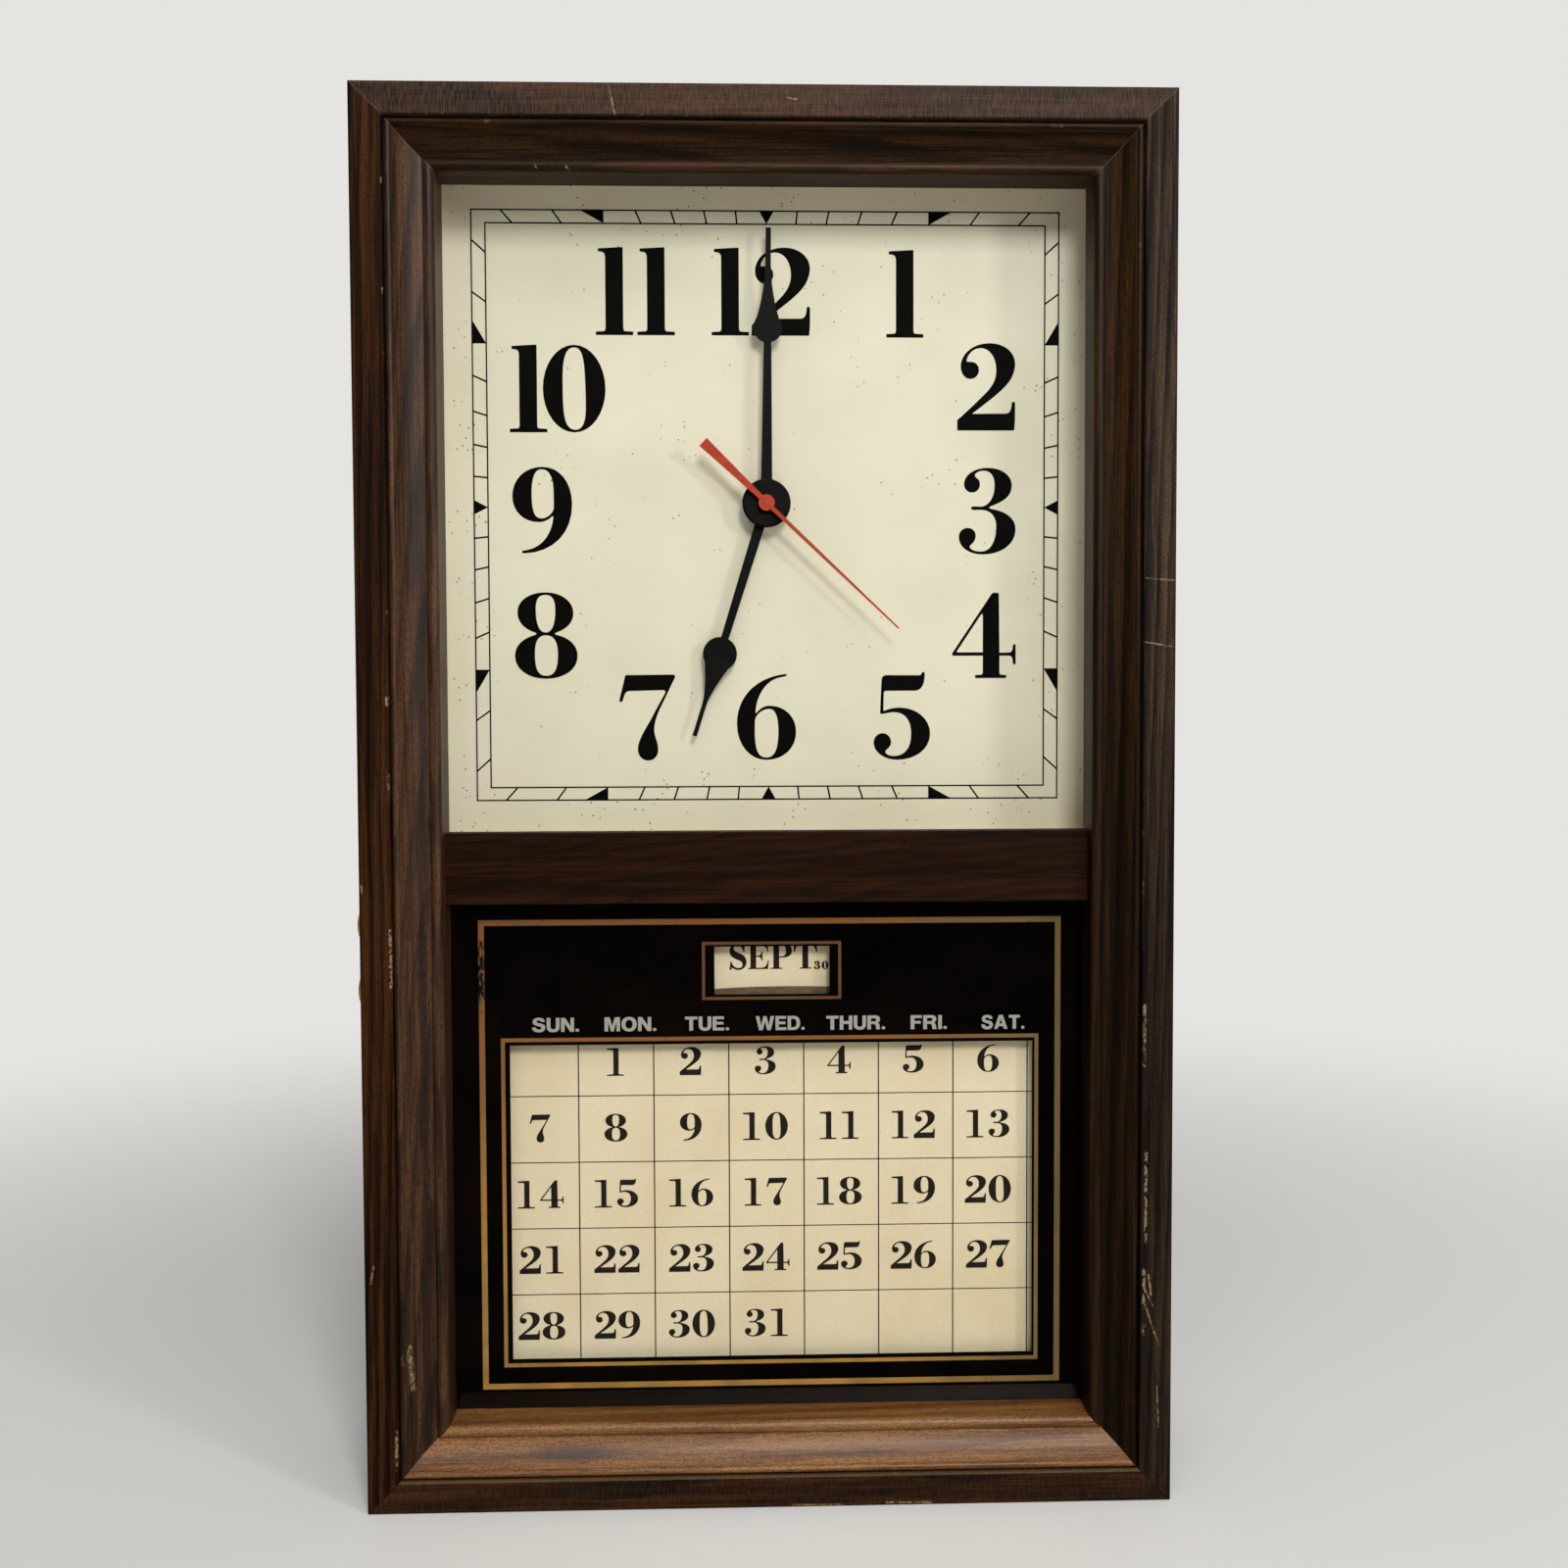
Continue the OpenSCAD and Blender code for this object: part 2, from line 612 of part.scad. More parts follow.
// Directions in the wheel planes, from the hand shaft to the setting shaft and back
mesh_out = 90 + setting_turn;
mesh_back = mesh_out + 180;

module hour_wheel() color("#e8e2d0") at_shaft() difference() {
    union() {
        flat(hour_wheel_y, hour_wheel_back)
            rotate(mesh_out + 180 / hour_teeth) gear_outline(hour_teeth, hour_module);
        rod_y(pipe_r, hour_pipe_front, hour_wheel_back);
    }
    rod_y(arbor_r + run_gap, hour_pipe_front - 1, hour_wheel_back + 1);
    for (turn = [30 : 60 : 330]) rotate([0, turn, 0]) translate([6, 0, 0])
        rod_y(1.6, hour_wheel_y - 1, hour_wheel_back + 1);
}
module minute_arbor() color("#d8c27a") at_shaft() difference() {
    union() {
        rod_y(arbor_r, boss_front, arbor_back);
        flat(cannon_y, cannon_back) rotate(mesh_out) gear_outline(cannon_teeth, cannon_module);
    }
    rod_y(seconds_r + run_gap, boss_front - 1, arbor_back + 1);
}
module motion_wheel() color("#e8e2d0") at_setting() {
    flat(motion_wheel_y, motion_wheel_back) difference() {
        rotate(mesh_back + 180 / motion_teeth) gear_outline(motion_teeth, cannon_module);
        for (turn = [0 : 72 : 288]) rotate(turn) translate([5.4, 0]) circle(1.5);
    }
    flat(hour_wheel_y - gap, motion_wheel_y)
        rotate(mesh_back) gear_outline(pinion_teeth, hour_module);
    rod_y(pivot_r, room_front - 0.9, hour_wheel_y);
    rod_y(setting_r, motion_wheel_back - 0.5, move_back + setting_knob_gap + 2.5);
}
module setting_knob() color("#e6e2d6") at_setting() difference() {
    flat(move_back + setting_knob_gap, move_back + setting_knob_gap + setting_knob_t) difference() {
        circle(setting_knob_r);
        for (turn = [0 : 15 : 345]) rotate(turn) translate([setting_knob_r + 0.2, 0]) circle(0.6, $fn = 16);
    }
    rod_y(setting_r + fit, move_back, move_back + setting_knob_gap + 2.6);
    difference() {
        rod_y(6, move_back + setting_knob_gap + setting_knob_t - 0.7, move_back + 10);
        rod_y(3.2, move_back, move_back + 11);
    }
}
module seconds_arbor() color("#d2b35a") at_shaft() rod_y(seconds_r, seconds_front, room_back + 0.6);

// Hands, drawn upwards from the shaft
module pear_outline(len, at, r, stem, neck, tip, taper, power) {
    polygon([[-stem / 2, 0], [stem / 2, 0], [neck / 2, at], [-neck / 2, at]]);
    translate([0, at]) circle(r);
    function half(s) = tip / 2 + (r - tip / 2) * pow(1 - s, power);
    polygon(concat([for (i = [0 : 10]) [half(i / 10), at + taper * i / 10]],
        [[tip / 2, len], [-tip / 2, len]],
        [for (i = [10 : -1 : 0]) [-half(i / 10), at + taper * i / 10]]));
}
module hand(y, angle) at_shaft() rotate([0, angle, 0]) flat(y - hand_t, y) children();
module hour_hand() color("#15151a") difference() {
    union() {
        hand(hour_hand_y, hour_angle) union() {
            circle(6);
            pear_outline(hour_len, 0.646 * hour_len, hour_pear, 4.4, 3, 1.8, hour_taper, 1.45);
        }
        at_shaft() rod_y(pipe_r + 1.2, hour_hand_y - 0.1, hour_hand_y + collet_t);
    }
    at_shaft() rod_y(pipe_r + fit, hour_pipe_front - 1, bush_front);
}
module minute_hand() color("#15151a") difference() {
    union() {
        hand(minute_hand_y, minute_angle) union() {
            circle(6);
            pear_outline(minute_len, 0.638 * minute_len, minute_pear, 4.8, 3, 2.2,
                minute_taper, 2.2);
        }
        at_shaft() rod_y(arbor_r + 1.2, minute_hand_y - 0.1, minute_hand_y + collet_t);
    }
    at_shaft() rod_y(arbor_r + fit, boss_front - 1, bush_front);
}
module minute_boss() color("#101014") at_shaft() difference() {
    union() {
        rod_y(boss_r, boss_front + 0.5, minute_hand_y - hand_t);
        translate([0, boss_front + 0.5, 0]) rotate([90, 0, 0]) cylinder(r1 = boss_r, r2 = boss_r - 0.8, h = 0.5);
    }
    rod_y(arbor_r + fit, boss_front - 1, minute_hand_y);
}
module second_hand() color("#b8402a") difference() {
    union() {
        hand(second_hand_y, second_angle) union() {
            circle(3.3);
            polygon([[-0.9, 0], [0.9, 0], [0.3, second_len], [-0.3, second_len]]);
            polygon([[0.9, 0], [-0.9, 0], [-2.2, -second_tail], [2.2, -second_tail]]);
        }
        at_shaft() rod_y(seconds_r + 0.6, second_hand_y - 0.1, second_hand_y + 1.2);
    }
    at_shaft() rod_y(seconds_r + fit, seconds_front - 1, boss_front + 1);
}

// Calendar brackets: a plate on the case side with bearings, a glass lip and a groove
module bracket(side) {
    module side_block(x0, x1, y, z) block(side > 0 ? [x0, x1] : [-x1, -x0], y, z);
    roller_zs = [date_lower_z, date_upper_z, month_lower_z, month_upper_z];
    groove_low = platen_y - groove_gap;
    groove_high = platen_y + platen_t + groove_gap;
    difference() {
        union() {
            side_block(bracket_x, inner_x, [glass_back, bracket_back], [bracket_bottom, bracket_top]);
            side_block(cleat_x, inner_x, [glass_back, glass_back + 2], [bracket_bottom, bracket_top]);
            for (z = roller_zs) translate([0, roller_y, z])
                rod_x(boss_bearing_r, side > 0 ? bearing_x : -bracket_x, side > 0 ? bracket_x : -bearing_x);
            for (y = [groove_low - groove_rib, groove_high])
                side_block(bracket_x - groove_deep, bracket_x, [y, y + groove_rib],
                    [platen_bottom + gap, platen_top - gap]);
            side_block(bracket_x - groove_deep, bracket_x, [groove_low - groove_rib, groove_high + groove_rib],
                [platen_bottom - groove_rib - gap, platen_bottom - gap]);
        }
        for (z = roller_zs) translate([side * inner_x, roller_y, z])
            rotate([0, 90, 0]) cylinder(r = spindle_r + run_gap, h = 4 * bearing_len, center = true);
        bracket_screw_spots(side) translate([0, 0, -bracket_t - 1])
            cylinder(r = screw_r + gap, h = bracket_t + 2);
    }
}
module calendar_bracket_left() color("#d9d4c4") bracket(-1);
module calendar_bracket_right() color("#d9d4c4") bracket(1);
module bracket_screws() color("#bfbcb2") for (side = [-1, 1])
    bracket_screw_spots(side) pan_screw(screw_r, bracket_t + screw_grip);
module date_platen() color("#aeb0b2")
    block([-platen_x, platen_x], [platen_y, platen_y + platen_t], [platen_bottom, platen_top]);

// Paper: a straight run in front of two rollers, turning round each of them
module paper_run(w, z0, z1) {
    module turn(z, low) translate([0, roller_y, z]) rotate([90, 0, 90])
        linear_extrude(w, center = true) intersection() {
            difference() {
                circle(wound_r + gap + paper_t, $fn = 96);
                circle(wound_r + gap, $fn = 96);
            }
            translate([-20, low ? -20 : 0]) square([20, 20]);
        }
    union() {
        block([-w / 2, w / 2], [paper_front, paper_back], [z0, z1]);
        turn(z0, true);
        turn(z1, false);
    }
}
module date_sheet() color("#ecdcb8") paper_run(date_paper_w, date_lower_z, date_upper_z);
module month_strip() color("#f0e8c8") paper_run(month_paper_w, month_lower_z, month_upper_z);

// Rollers run from the far bearing through the near case side; side is the knob's side
module roller(w, z, side) translate([0, roller_y, z]) rotate([0, 0, side > 0 ? 0 : 180]) union() {
    rod_x(spindle_r, -spindle_stop, spindle_end);
    rod_x(drum_r, -w / 2 - 1, w / 2 + 1);
    for (x = [-w / 2 - 1 - flange_t, w / 2 + 1]) rod_x(flange_r, x, x + flange_t);
}
module wound_paper(w, z) translate([0, roller_y, z]) difference() {
    rod_x(wound_r, -w / 2, w / 2);
    rod_x(drum_r + fit, -w, w);
}
module knob(z, side) translate([0, roller_y, z]) rotate([0, 0, side > 0 ? 0 : 180])
    translate([knob_face, 0, 0]) rotate([0, 90, 0]) difference() {
        len = knob_end - knob_face;
        union() {
            cylinder(r = 0.7 * knob_r, h = 0.3 * len);
            translate([0, 0, 0.25 * len]) linear_extrude(0.6 * len) difference() {
                circle(knob_r);
                for (turn = [0 : 12 : 348]) rotate(turn) translate([knob_r + 0.25, 0]) circle(0.55, $fn = 16);
            }
            translate([0, 0, 0.85 * len]) cylinder(r1 = knob_r - 0.4, r2 = knob_r - 1.4, h = 0.15 * len);
        }
        translate([0, 0, -1]) cylinder(r = spindle_r + fit, h = spindle_end - knob_face + 1.1);
    }
module date_roller_upper() color("#e4dfd0") roller(date_paper_w, date_upper_z, 1);
module date_roller_lower() color("#e4dfd0") roller(date_paper_w, date_lower_z, 1);
module month_roller_upper() color("#e4dfd0") roller(month_paper_w, month_upper_z, -1);
module month_roller_lower() color("#e4dfd0") roller(month_paper_w, month_lower_z, -1);
module date_paper_upper() color("#e6d3ad") wound_paper(date_paper_w, date_upper_z);
module date_paper_lower() color("#e6d3ad") wound_paper(date_paper_w, date_lower_z);
module month_paper_upper() color("#e8dcb8") wound_paper(month_paper_w, month_upper_z);
module month_paper_lower() color("#e8dcb8") wound_paper(month_paper_w, month_lower_z);
module date_knob_upper() color("#b08a3e") knob(date_upper_z, 1);
module date_knob_lower() color("#b08a3e") knob(date_lower_z, 1);
module month_knob_upper() color("#b08a3e") knob(month_upper_z, -1);
module month_knob_lower() color("#b08a3e") knob(month_lower_z, -1);

// Back
module back_screw_spots() {
    for (side = [-1, 1], z = panel_zs)
        translate([side * (inner_x - batten_w / 2), wall, z]) facing_wall() children();
    for (side = [-1, 1], z = [inner_bottom + batten_w / 2, panel_top - panel_lap / 2])
        translate([side * inner_x / 2, wall, z]) facing_wall() children();
}
module back_battens() color("#b98d5c") difference() {
    union() {
        for (side = [-1, 1]) translate([side * (inner_x - batten_w / 2), 0, 0])
            block([-batten_w / 2, batten_w / 2], [batten_y, back_y], [inner_bottom, hang_bottom]);
        block([batten_w - inner_x + fit, inner_x - batten_w - fit], [batten_y, back_y],
            [inner_bottom, inner_bottom + batten_w]);
    }
    back_screw_spots() flat_screw_hole(screw_r, back_t + screw_grip + 0.2);
}
module back_panel() color("#8a6a48") difference() {
    block([-panel_x, panel_x], [back_y, wall], [panel_bottom, panel_top - gap]);
    at_shaft() flat(back_y - 1, wall + 1)
        rounded_rect([-access_w / 2, access_w / 2], [-access_w / 2, access_w / 2], access_r);
    back_screw_spots() flat_screw_hole(screw_r, 2 * back_t);
}
module back_screws() color("#c9b37a") back_screw_spots() flat_screw(screw_r, back_t + screw_grip);

// Hanging rail and keyhole plate
module hanger_screw_spots() for (side = [-1, 1])
    translate([side * (hanger_w / 2 - 6), wall, hanger_z]) facing_wall() children();
module key_outline(r, slot, rise) {
    circle(r);
    translate([-slot / 2, 0]) square([slot, rise]);
    translate([0, rise]) circle(slot / 2);
}
module hanging_rail() color("#b98d5c") difference() {
    block([-inner_x, inner_x], [hang_y, wall], [hang_bottom, inner_top]);
    block([-case_w, case_w], [back_y, wall + 1], [hang_bottom - 1, panel_top]);
    translate([0, 0, hanger_z]) flat(wall - hanger_t, wall + 1)
        rounded_rect([-hanger_w / 2 - fit, hanger_w / 2 + fit], [-hanger_h / 2 - fit, hanger_h / 2 + fit], 3);
    translate([0, 0, key_z]) flat(wall - hanger_t - pocket_d, wall)
        key_outline(key_r + 1, 2 * key_r + 1, key_rise);
    hanger_screw_spots() flat_screw_hole(screw_r, hanger_t + screw_grip + 0.2);
    back_screw_spots() flat_screw_hole(screw_r, back_t + screw_grip + 0.2);
}
module hanger_plate() color("#c9b37a") difference() {
    translate([0, 0, hanger_z]) flat(wall - hanger_t, wall)
        rounded_rect([-hanger_w / 2, hanger_w / 2], [-hanger_h / 2, hanger_h / 2], 3);
    translate([0, 0, key_z]) flat(wall - hanger_t - 1, wall + 1) key_outline(key_r, key_slot, key_rise);
    hanger_screw_spots() flat_screw_hole(screw_r, 2 * hanger_t);
}
module hanger_screws() color("#c9b37a") hanger_screw_spots() flat_screw(screw_r, hanger_t + screw_grip);

case_top();
case_bottom();
case_left();
case_right();
moulding_top();
moulding_bottom();
moulding_left();
moulding_right();
middle_rail();
dial_glass();
calendar_glass();
calendar_mask();
dial_cleats();
cross_cleat();
bottom_cleat();
dial_plate();
dial_screws();
movement_housing();
movement_cover();
threaded_bush();
dial_washer();
hex_nut();
battery_cell();
battery_contacts();
circuit_board();
drive_coil();
hour_wheel();
minute_arbor();
motion_wheel();
setting_knob();
seconds_arbor();
hour_hand();
minute_hand();
minute_boss();
second_hand();
calendar_bracket_left();
calendar_bracket_right();
bracket_screws();
date_platen();
date_sheet();
month_strip();
date_roller_upper();
date_roller_lower();
month_roller_upper();
month_roller_lower();
date_paper_upper();
date_paper_lower();
month_paper_upper();
month_paper_lower();
date_knob_upper();
date_knob_lower();
month_knob_upper();
month_knob_lower();
back_battens();
back_panel();
back_screws();
hanging_rail();
hanger_plate();
hanger_screws();
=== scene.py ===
# %% [markdown]
# A calendar wall clock: looks around a finished model
#
# The solids of the clock come ready made. This notebook gives each of them the surface
# that the real piece has, prints the dial, the calendar and the lines on the glass, and
# then sets the camera, the lamps and the floor.

# %% Load the model
import json
import math

import bmesh
import bpy
from mathutils import Matrix, Vector


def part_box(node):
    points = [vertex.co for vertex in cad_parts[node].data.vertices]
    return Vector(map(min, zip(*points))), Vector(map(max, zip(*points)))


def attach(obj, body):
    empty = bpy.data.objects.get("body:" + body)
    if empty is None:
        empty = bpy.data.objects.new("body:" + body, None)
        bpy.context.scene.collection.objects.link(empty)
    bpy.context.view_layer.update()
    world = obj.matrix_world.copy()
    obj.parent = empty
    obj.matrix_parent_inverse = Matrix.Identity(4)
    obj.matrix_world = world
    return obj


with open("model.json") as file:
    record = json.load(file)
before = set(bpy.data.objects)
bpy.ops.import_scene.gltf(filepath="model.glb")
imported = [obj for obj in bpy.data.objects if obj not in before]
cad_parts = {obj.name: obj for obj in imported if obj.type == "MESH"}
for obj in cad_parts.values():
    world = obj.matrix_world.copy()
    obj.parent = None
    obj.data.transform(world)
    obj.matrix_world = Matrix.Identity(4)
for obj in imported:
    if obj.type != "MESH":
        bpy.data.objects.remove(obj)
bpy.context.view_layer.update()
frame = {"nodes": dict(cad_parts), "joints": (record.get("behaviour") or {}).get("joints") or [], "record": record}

MM = 0.001
CASE_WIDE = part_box("case_right")[1][0] * 2
CASE_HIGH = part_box("case_top")[1][2]
CASE_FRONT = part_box("case_left")[0][1]
print("case", round(CASE_WIDE / MM), "mm wide", round(CASE_HIGH / MM), "mm high")

# %% [markdown]
# Two small helpers
#
# Paint makers and screens give colours as sRGB hex values, and shaders want linear
# numbers, so one function turns one into the other. The other adds a node to any tree,
# shader or geometry, with its settings and its links, which keeps each material short.

# %% Colours
def linear(code):
    """The linear colour of an sRGB hex value such as #e1dcc3."""
    channels = [int(code[start:start + 2], 16) / 255 for start in (1, 3, 5)]
    bright = [c / 12.92 if c <= 0.04045 else ((c + 0.055) / 1.055) ** 2.4 for c in channels]
    return (*bright, 1.0)


print("#808080 is", round(linear("#808080")[0], 3), "in linear light")


# %% Nodes
def node(tree, kind, inputs=(), **settings):
    """Add a node with its settings, and fill its open inputs in order, or by name from a dict.

    Each gets a value, a socket to link, or a node, whose first open output is linked.
    """
    made = tree.nodes.new(kind)
    for name, value in settings.items():
        setattr(made, name, value)
    if not isinstance(inputs, dict):
        open_inputs = [index for index, socket in enumerate(made.inputs) if socket.enabled]
        inputs = dict(zip(open_inputs, inputs))
    for name, value in inputs.items():
        if isinstance(value, bpy.types.Node):
            value = next(socket for socket in value.outputs if socket.enabled)
        if isinstance(value, bpy.types.NodeSocket):
            tree.links.new(value, made.inputs[name])
        else:
            made.inputs[name].default_value = value
    return made


# Four kinds of node come again and again: arithmetic on numbers and on places, a number taken
# smoothly from one range to another, and a mix of two colours
MATH = "ShaderNodeMath"
VECTOR_MATH = "ShaderNodeVectorMath"
RANGE = "ShaderNodeMapRange"
SMOOTH = {"interpolation_type": "SMOOTHSTEP"}
MIX = "ShaderNodeMix"
COLOURS = {"data_type": "RGBA"}
print("a node with its settings and links takes one line")

# %% [markdown]
# The steps of a material
#
# A finish is built as a painter builds it: a ground colour, then thin coats over it, each
# only where a mask lets it through. A mask is a number from 0 to 1, and most come from
# noise whose specks have a real size. Where several masks must hold at once, they are
# multiplied.

# %% A new material and its specks
def start_material(name):
    """A new material with an empty tree, and its object coordinates."""
    made = bpy.data.materials.new(name)
    made.use_nodes = True
    made.node_tree.nodes.clear()
    place = node(made.node_tree, "ShaderNodeTexCoord").outputs["Object"]
    return made, made.node_tree, place


def stretched_noise(tree, place, size, detail=3.0, rough=0.55):
    """Noise whose specks are size = (x, y, z) millimetres long."""
    spot = node(tree, "ShaderNodeMapping", {
        "Vector": place, "Scale": [1.0 / (side * MM) for side in size]})
    return node(tree, "ShaderNodeTexNoise", {
        "Vector": spot, "Scale": 1.0, "Detail": detail, "Roughness": rough})


print("a material can start, with specks of a real size")


# %% Coats and masks
def set_stops(shades, stops):
    """Set a colour ramp to stops of (position, hex colour)."""
    elements = shades.color_ramp.elements
    elements[0].position, elements[0].color = stops[0][0], linear(stops[0][1])
    elements[1].position, elements[1].color = stops[-1][0], linear(stops[-1][1])
    for position, code in stops[1:-1]:
        elements.new(position).color = linear(code)


def lay_coats(tree, ground, coats):
    """Lay coats of (mask, hex colour) over a ground, one after another."""
    for mask, code in coats:
        ground = node(tree, MIX, [mask, ground, linear(code)], **COLOURS)
    return ground


def overlap(tree, *masks):
    """How far all the masks hold at once."""
    shared = masks[-1]
    for mask in reversed(masks[:-1]):
        shared = node(tree, MATH, [mask, shared], operation="MULTIPLY")
    return shared


print("a ground can be coated through masks")

# %% [markdown]
# The camera
#
# The photo was taken by hand at about 65 cm, a little above the middle of the clock and
# turned less than two degrees. Setting the camera first means that every later choice is
# judged from the same place. A 36 mm lens on a 36 mm sensor gives the photo's frame.

# %% Camera
PITCH, YAW, ROLL = 0.04086, -0.03017, -0.00480
CAMERA_AT = (-0.01274, -0.6532, 0.31363)
camera = bpy.data.objects.new("camera", bpy.data.cameras.new("camera"))
bpy.context.scene.collection.objects.link(camera)
bpy.context.scene.camera = camera
camera.data.lens = 36.0
camera.data.sensor_width = 36.0
camera.data.clip_start = 0.01
turned = (Matrix.Rotation(-PITCH, 3, "X") @ Matrix.Rotation(YAW, 3, "Z")
          @ Matrix.Rotation(-ROLL, 3, "Y") @ Matrix.Rotation(math.pi / 2, 3, "X"))
camera.matrix_world = Matrix.Translation(CAMERA_AT) @ turned.to_4x4()
print("camera", [round(v, 3) for v in camera.location])

# %% [markdown]
# Scratches
#
# An old clock has a few long scratches and rubbed corners. Each is a straight stroke on
# the front of the case, so a group measures how far a point is from a line between two
# ends. A group is used because the walnut needs it many times with other ends.

# %% A group that draws one scratch
def build_scratch_group():
    """Inside: the distance from Place to the line from Start to End, turned into a mask."""
    group = bpy.data.node_groups.new("scratch", "ShaderNodeTree")
    for name in ("Place", "Start", "End"):
        group.interface.new_socket(name, in_out="INPUT", socket_type="NodeSocketVector")
    group.interface.new_socket("Width", in_out="INPUT", socket_type="NodeSocketFloat")
    group.interface.new_socket("Mask", in_out="OUTPUT", socket_type="NodeSocketFloat")
    given = node(group, "NodeGroupInput").outputs
    along = node(group, VECTOR_MATH, [given["End"], given["Start"]], operation="SUBTRACT")
    here = node(group, VECTOR_MATH, [given["Place"], given["Start"]], operation="SUBTRACT")
    reach = node(group, VECTOR_MATH, [here, along], operation="DOT_PRODUCT")
    whole = node(group, VECTOR_MATH, [along, along], operation="DOT_PRODUCT")
    share = node(group, MATH, [reach, whole], operation="DIVIDE", use_clamp=True)
    nearest = node(group, VECTOR_MATH, [along, share], operation="SCALE")
    away = node(group, VECTOR_MATH, [here, nearest], operation="DISTANCE")
    mask = node(group, RANGE, [away, 0.0, given["Width"], 1.0, 0.0], **SMOOTH)
    node(group, "NodeGroupOutput", {"Mask": mask})
    return group


SCRATCH = build_scratch_group()
print("one scratch takes", len(SCRATCH.nodes), "nodes")

# %% Where the scratches are
# Start x, start z, end x, end z, and width in millimetres, all on the front of the case
SCRATCHES = [
    (-60.4, 556.5, -58.2, 545.6, 0.55),
    (8.2, 552.4, 12.0, 551.8, 0.5),
    (148.1, 368.6, 159.4, 367.8, 0.5),
    (147.5, 343.7, 159.0, 341.8, 0.5),
    (149.0, 80.4, 154.6, 63.7, 0.6),
    (148.2, 88.0, 152.5, 79.0, 0.5),
    (150.5, 92.0, 151.5, 84.0, 0.7),
    (8.6, 1.0, 28.2, 0.8, 0.7),
    (45.8, 1.4, 63.5, 1.1, 0.8),
    (-156.2, 99.6, -157.4, 93.0, 0.6),
    (-143.6, 64.0, -142.4, 48.0, 1.3),
    (-90.0, 529.4, -89.2, 528.3, 0.6),
    (-78.0, 528.8, -77.0, 528.0, 0.7),
    (60.0, 26.0, 96.0, 25.2, 0.5),
    (14.0, 27.6, 20.0, 26.2, 1.0),
    (154.2, 46.6, 154.9, 30.0, 0.4),
]
# Rubbed stretches of the case's upright edges, inner and outer: x, lower z and upper z
RUBBED = [
    (148.6, 64.0, 96.0), (149.2, 104.0, 141.0), (148.4, 176.0, 200.0), (-159.0, 247.0, 250.0),
    (-148.0, 283.0, 297.0), (-148.0, 320.0, 323.0), (-148.0, 210.0, 232.0), (-148.2, 18.0, 34.0),
    (-143.2, 46.0, 66.0),
]
RUBBED_WIDE = 1.0
print(len(SCRATCHES), "scratches", len(RUBBED), "rubbed stretches")

# %% [markdown]
# Walnut and pine
#
# The case is solid wood with a dark walnut stain and a satin varnish. A tree grows in rings
# round its pith, and a saw cuts straight through them, so a board shows stripes where it was
# cut far from the pith and pointed arches where it was cut close to it. Each stick is
# given its own place in the tree, and the rings, the fibres and the pores come from how far
# a point is from the pith. An image would repeat and need unwrapping, which this doesn't.

# %% The yearly rings
ALONG_X, ALONG_Z = 0, 2


def grain_sizes(across, along, axis):
    """Speck sizes with the long side on the grain's axis."""
    sizes = [across, across, across]
    sizes[axis] = along
    return sizes


def late_wood(tree, place, axis, pith, lean, ring, waver):
    """How dark the yearly ring is: it darkens slowly through the year and ends sharply.

    pith is where the tree's middle lies, across the stick and in depth, in millimetres, and
    lean is how far it moves for each millimetre along the stick. The rings are ring millimetres
    apart and wander by up to waver millimetres.
    """
    x, y, z = node(tree, "ShaderNodeSeparateXYZ", [place]).outputs
    along, across = (x, z) if axis == ALONG_X else (z, x)
    drift = stretched_noise(tree, place, grain_sizes(34, 150, axis), 2.0)
    squares = []
    for side, centre, slope in zip((across, y), pith, lean):
        moved = node(tree, MATH, [along, -slope, -centre * MM], operation="MULTIPLY_ADD")
        leg = node(tree, MATH, [side, moved], operation="ADD")
        squares.append(node(tree, MATH, [leg, leg], operation="MULTIPLY"))
    far = node(tree, MATH, squares, operation="ADD")
    far = node(tree, MATH, [far], operation="SQRT")
    far = node(tree, MATH, [drift, waver * MM, far], operation="MULTIPLY_ADD")
    year = node(tree, MATH, [far, ring * MM], operation="DIVIDE")
    year = node(tree, MATH, [year], operation="FRACT")
    slow = node(tree, RANGE, [year, 0.30, 0.88], **SMOOTH)
    sharp = node(tree, RANGE, [year, 0.93, 1.0, 1.0, 0.0], **SMOOTH)
    return overlap(tree, slow, sharp)


print("speck sizes with the grain level:", grain_sizes(0.4, 6, ALONG_X))

# %% [markdown]
# Wear
#
# Stain goes only skin deep, so an arris that is knocked shows pale wood. Wear therefore
# follows the case's own edges: one mask knows how far a point is from the outer faces and
# from the mitres, and noise breaks it up, so that it doesn't look drawn.

# %% Distances that follow the case
def case_edges(tree, place):
    """Distances that follow the case: from its outer faces, and from its mitres."""
    x, y, z = node(tree, "ShaderNodeSeparateXYZ", [place]).outputs
    side = node(tree, MATH, [x], operation="ABSOLUTE")
    side = node(tree, MATH, [side, CASE_WIDE / 2], operation="SUBTRACT")
    rise = node(tree, MATH, [z, CASE_HIGH / 2], operation="SUBTRACT")
    rise = node(tree, MATH, [rise], operation="ABSOLUTE")
    rise = node(tree, MATH, [rise, CASE_HIGH / 2], operation="SUBTRACT")
    outer = node(tree, MATH, [side, rise], operation="MAXIMUM")
    mitre = node(tree, MATH, [side, rise], operation="SUBTRACT")
    return outer, node(tree, MATH, [mitre], operation="ABSOLUTE")


print("the sides stand", round(CASE_WIDE / 2 / MM), "mm from the middle of the case")

# %% Where the stain has gone
# In millimetres: where the boards' inner edge begins, from their outer face, and how far back
# a stroke shows on the boards and on the moulding, which lies deeper
BOARD_INNER = 11.9
BOARD_REACH, MOULDING_REACH = 1.2, 14.0


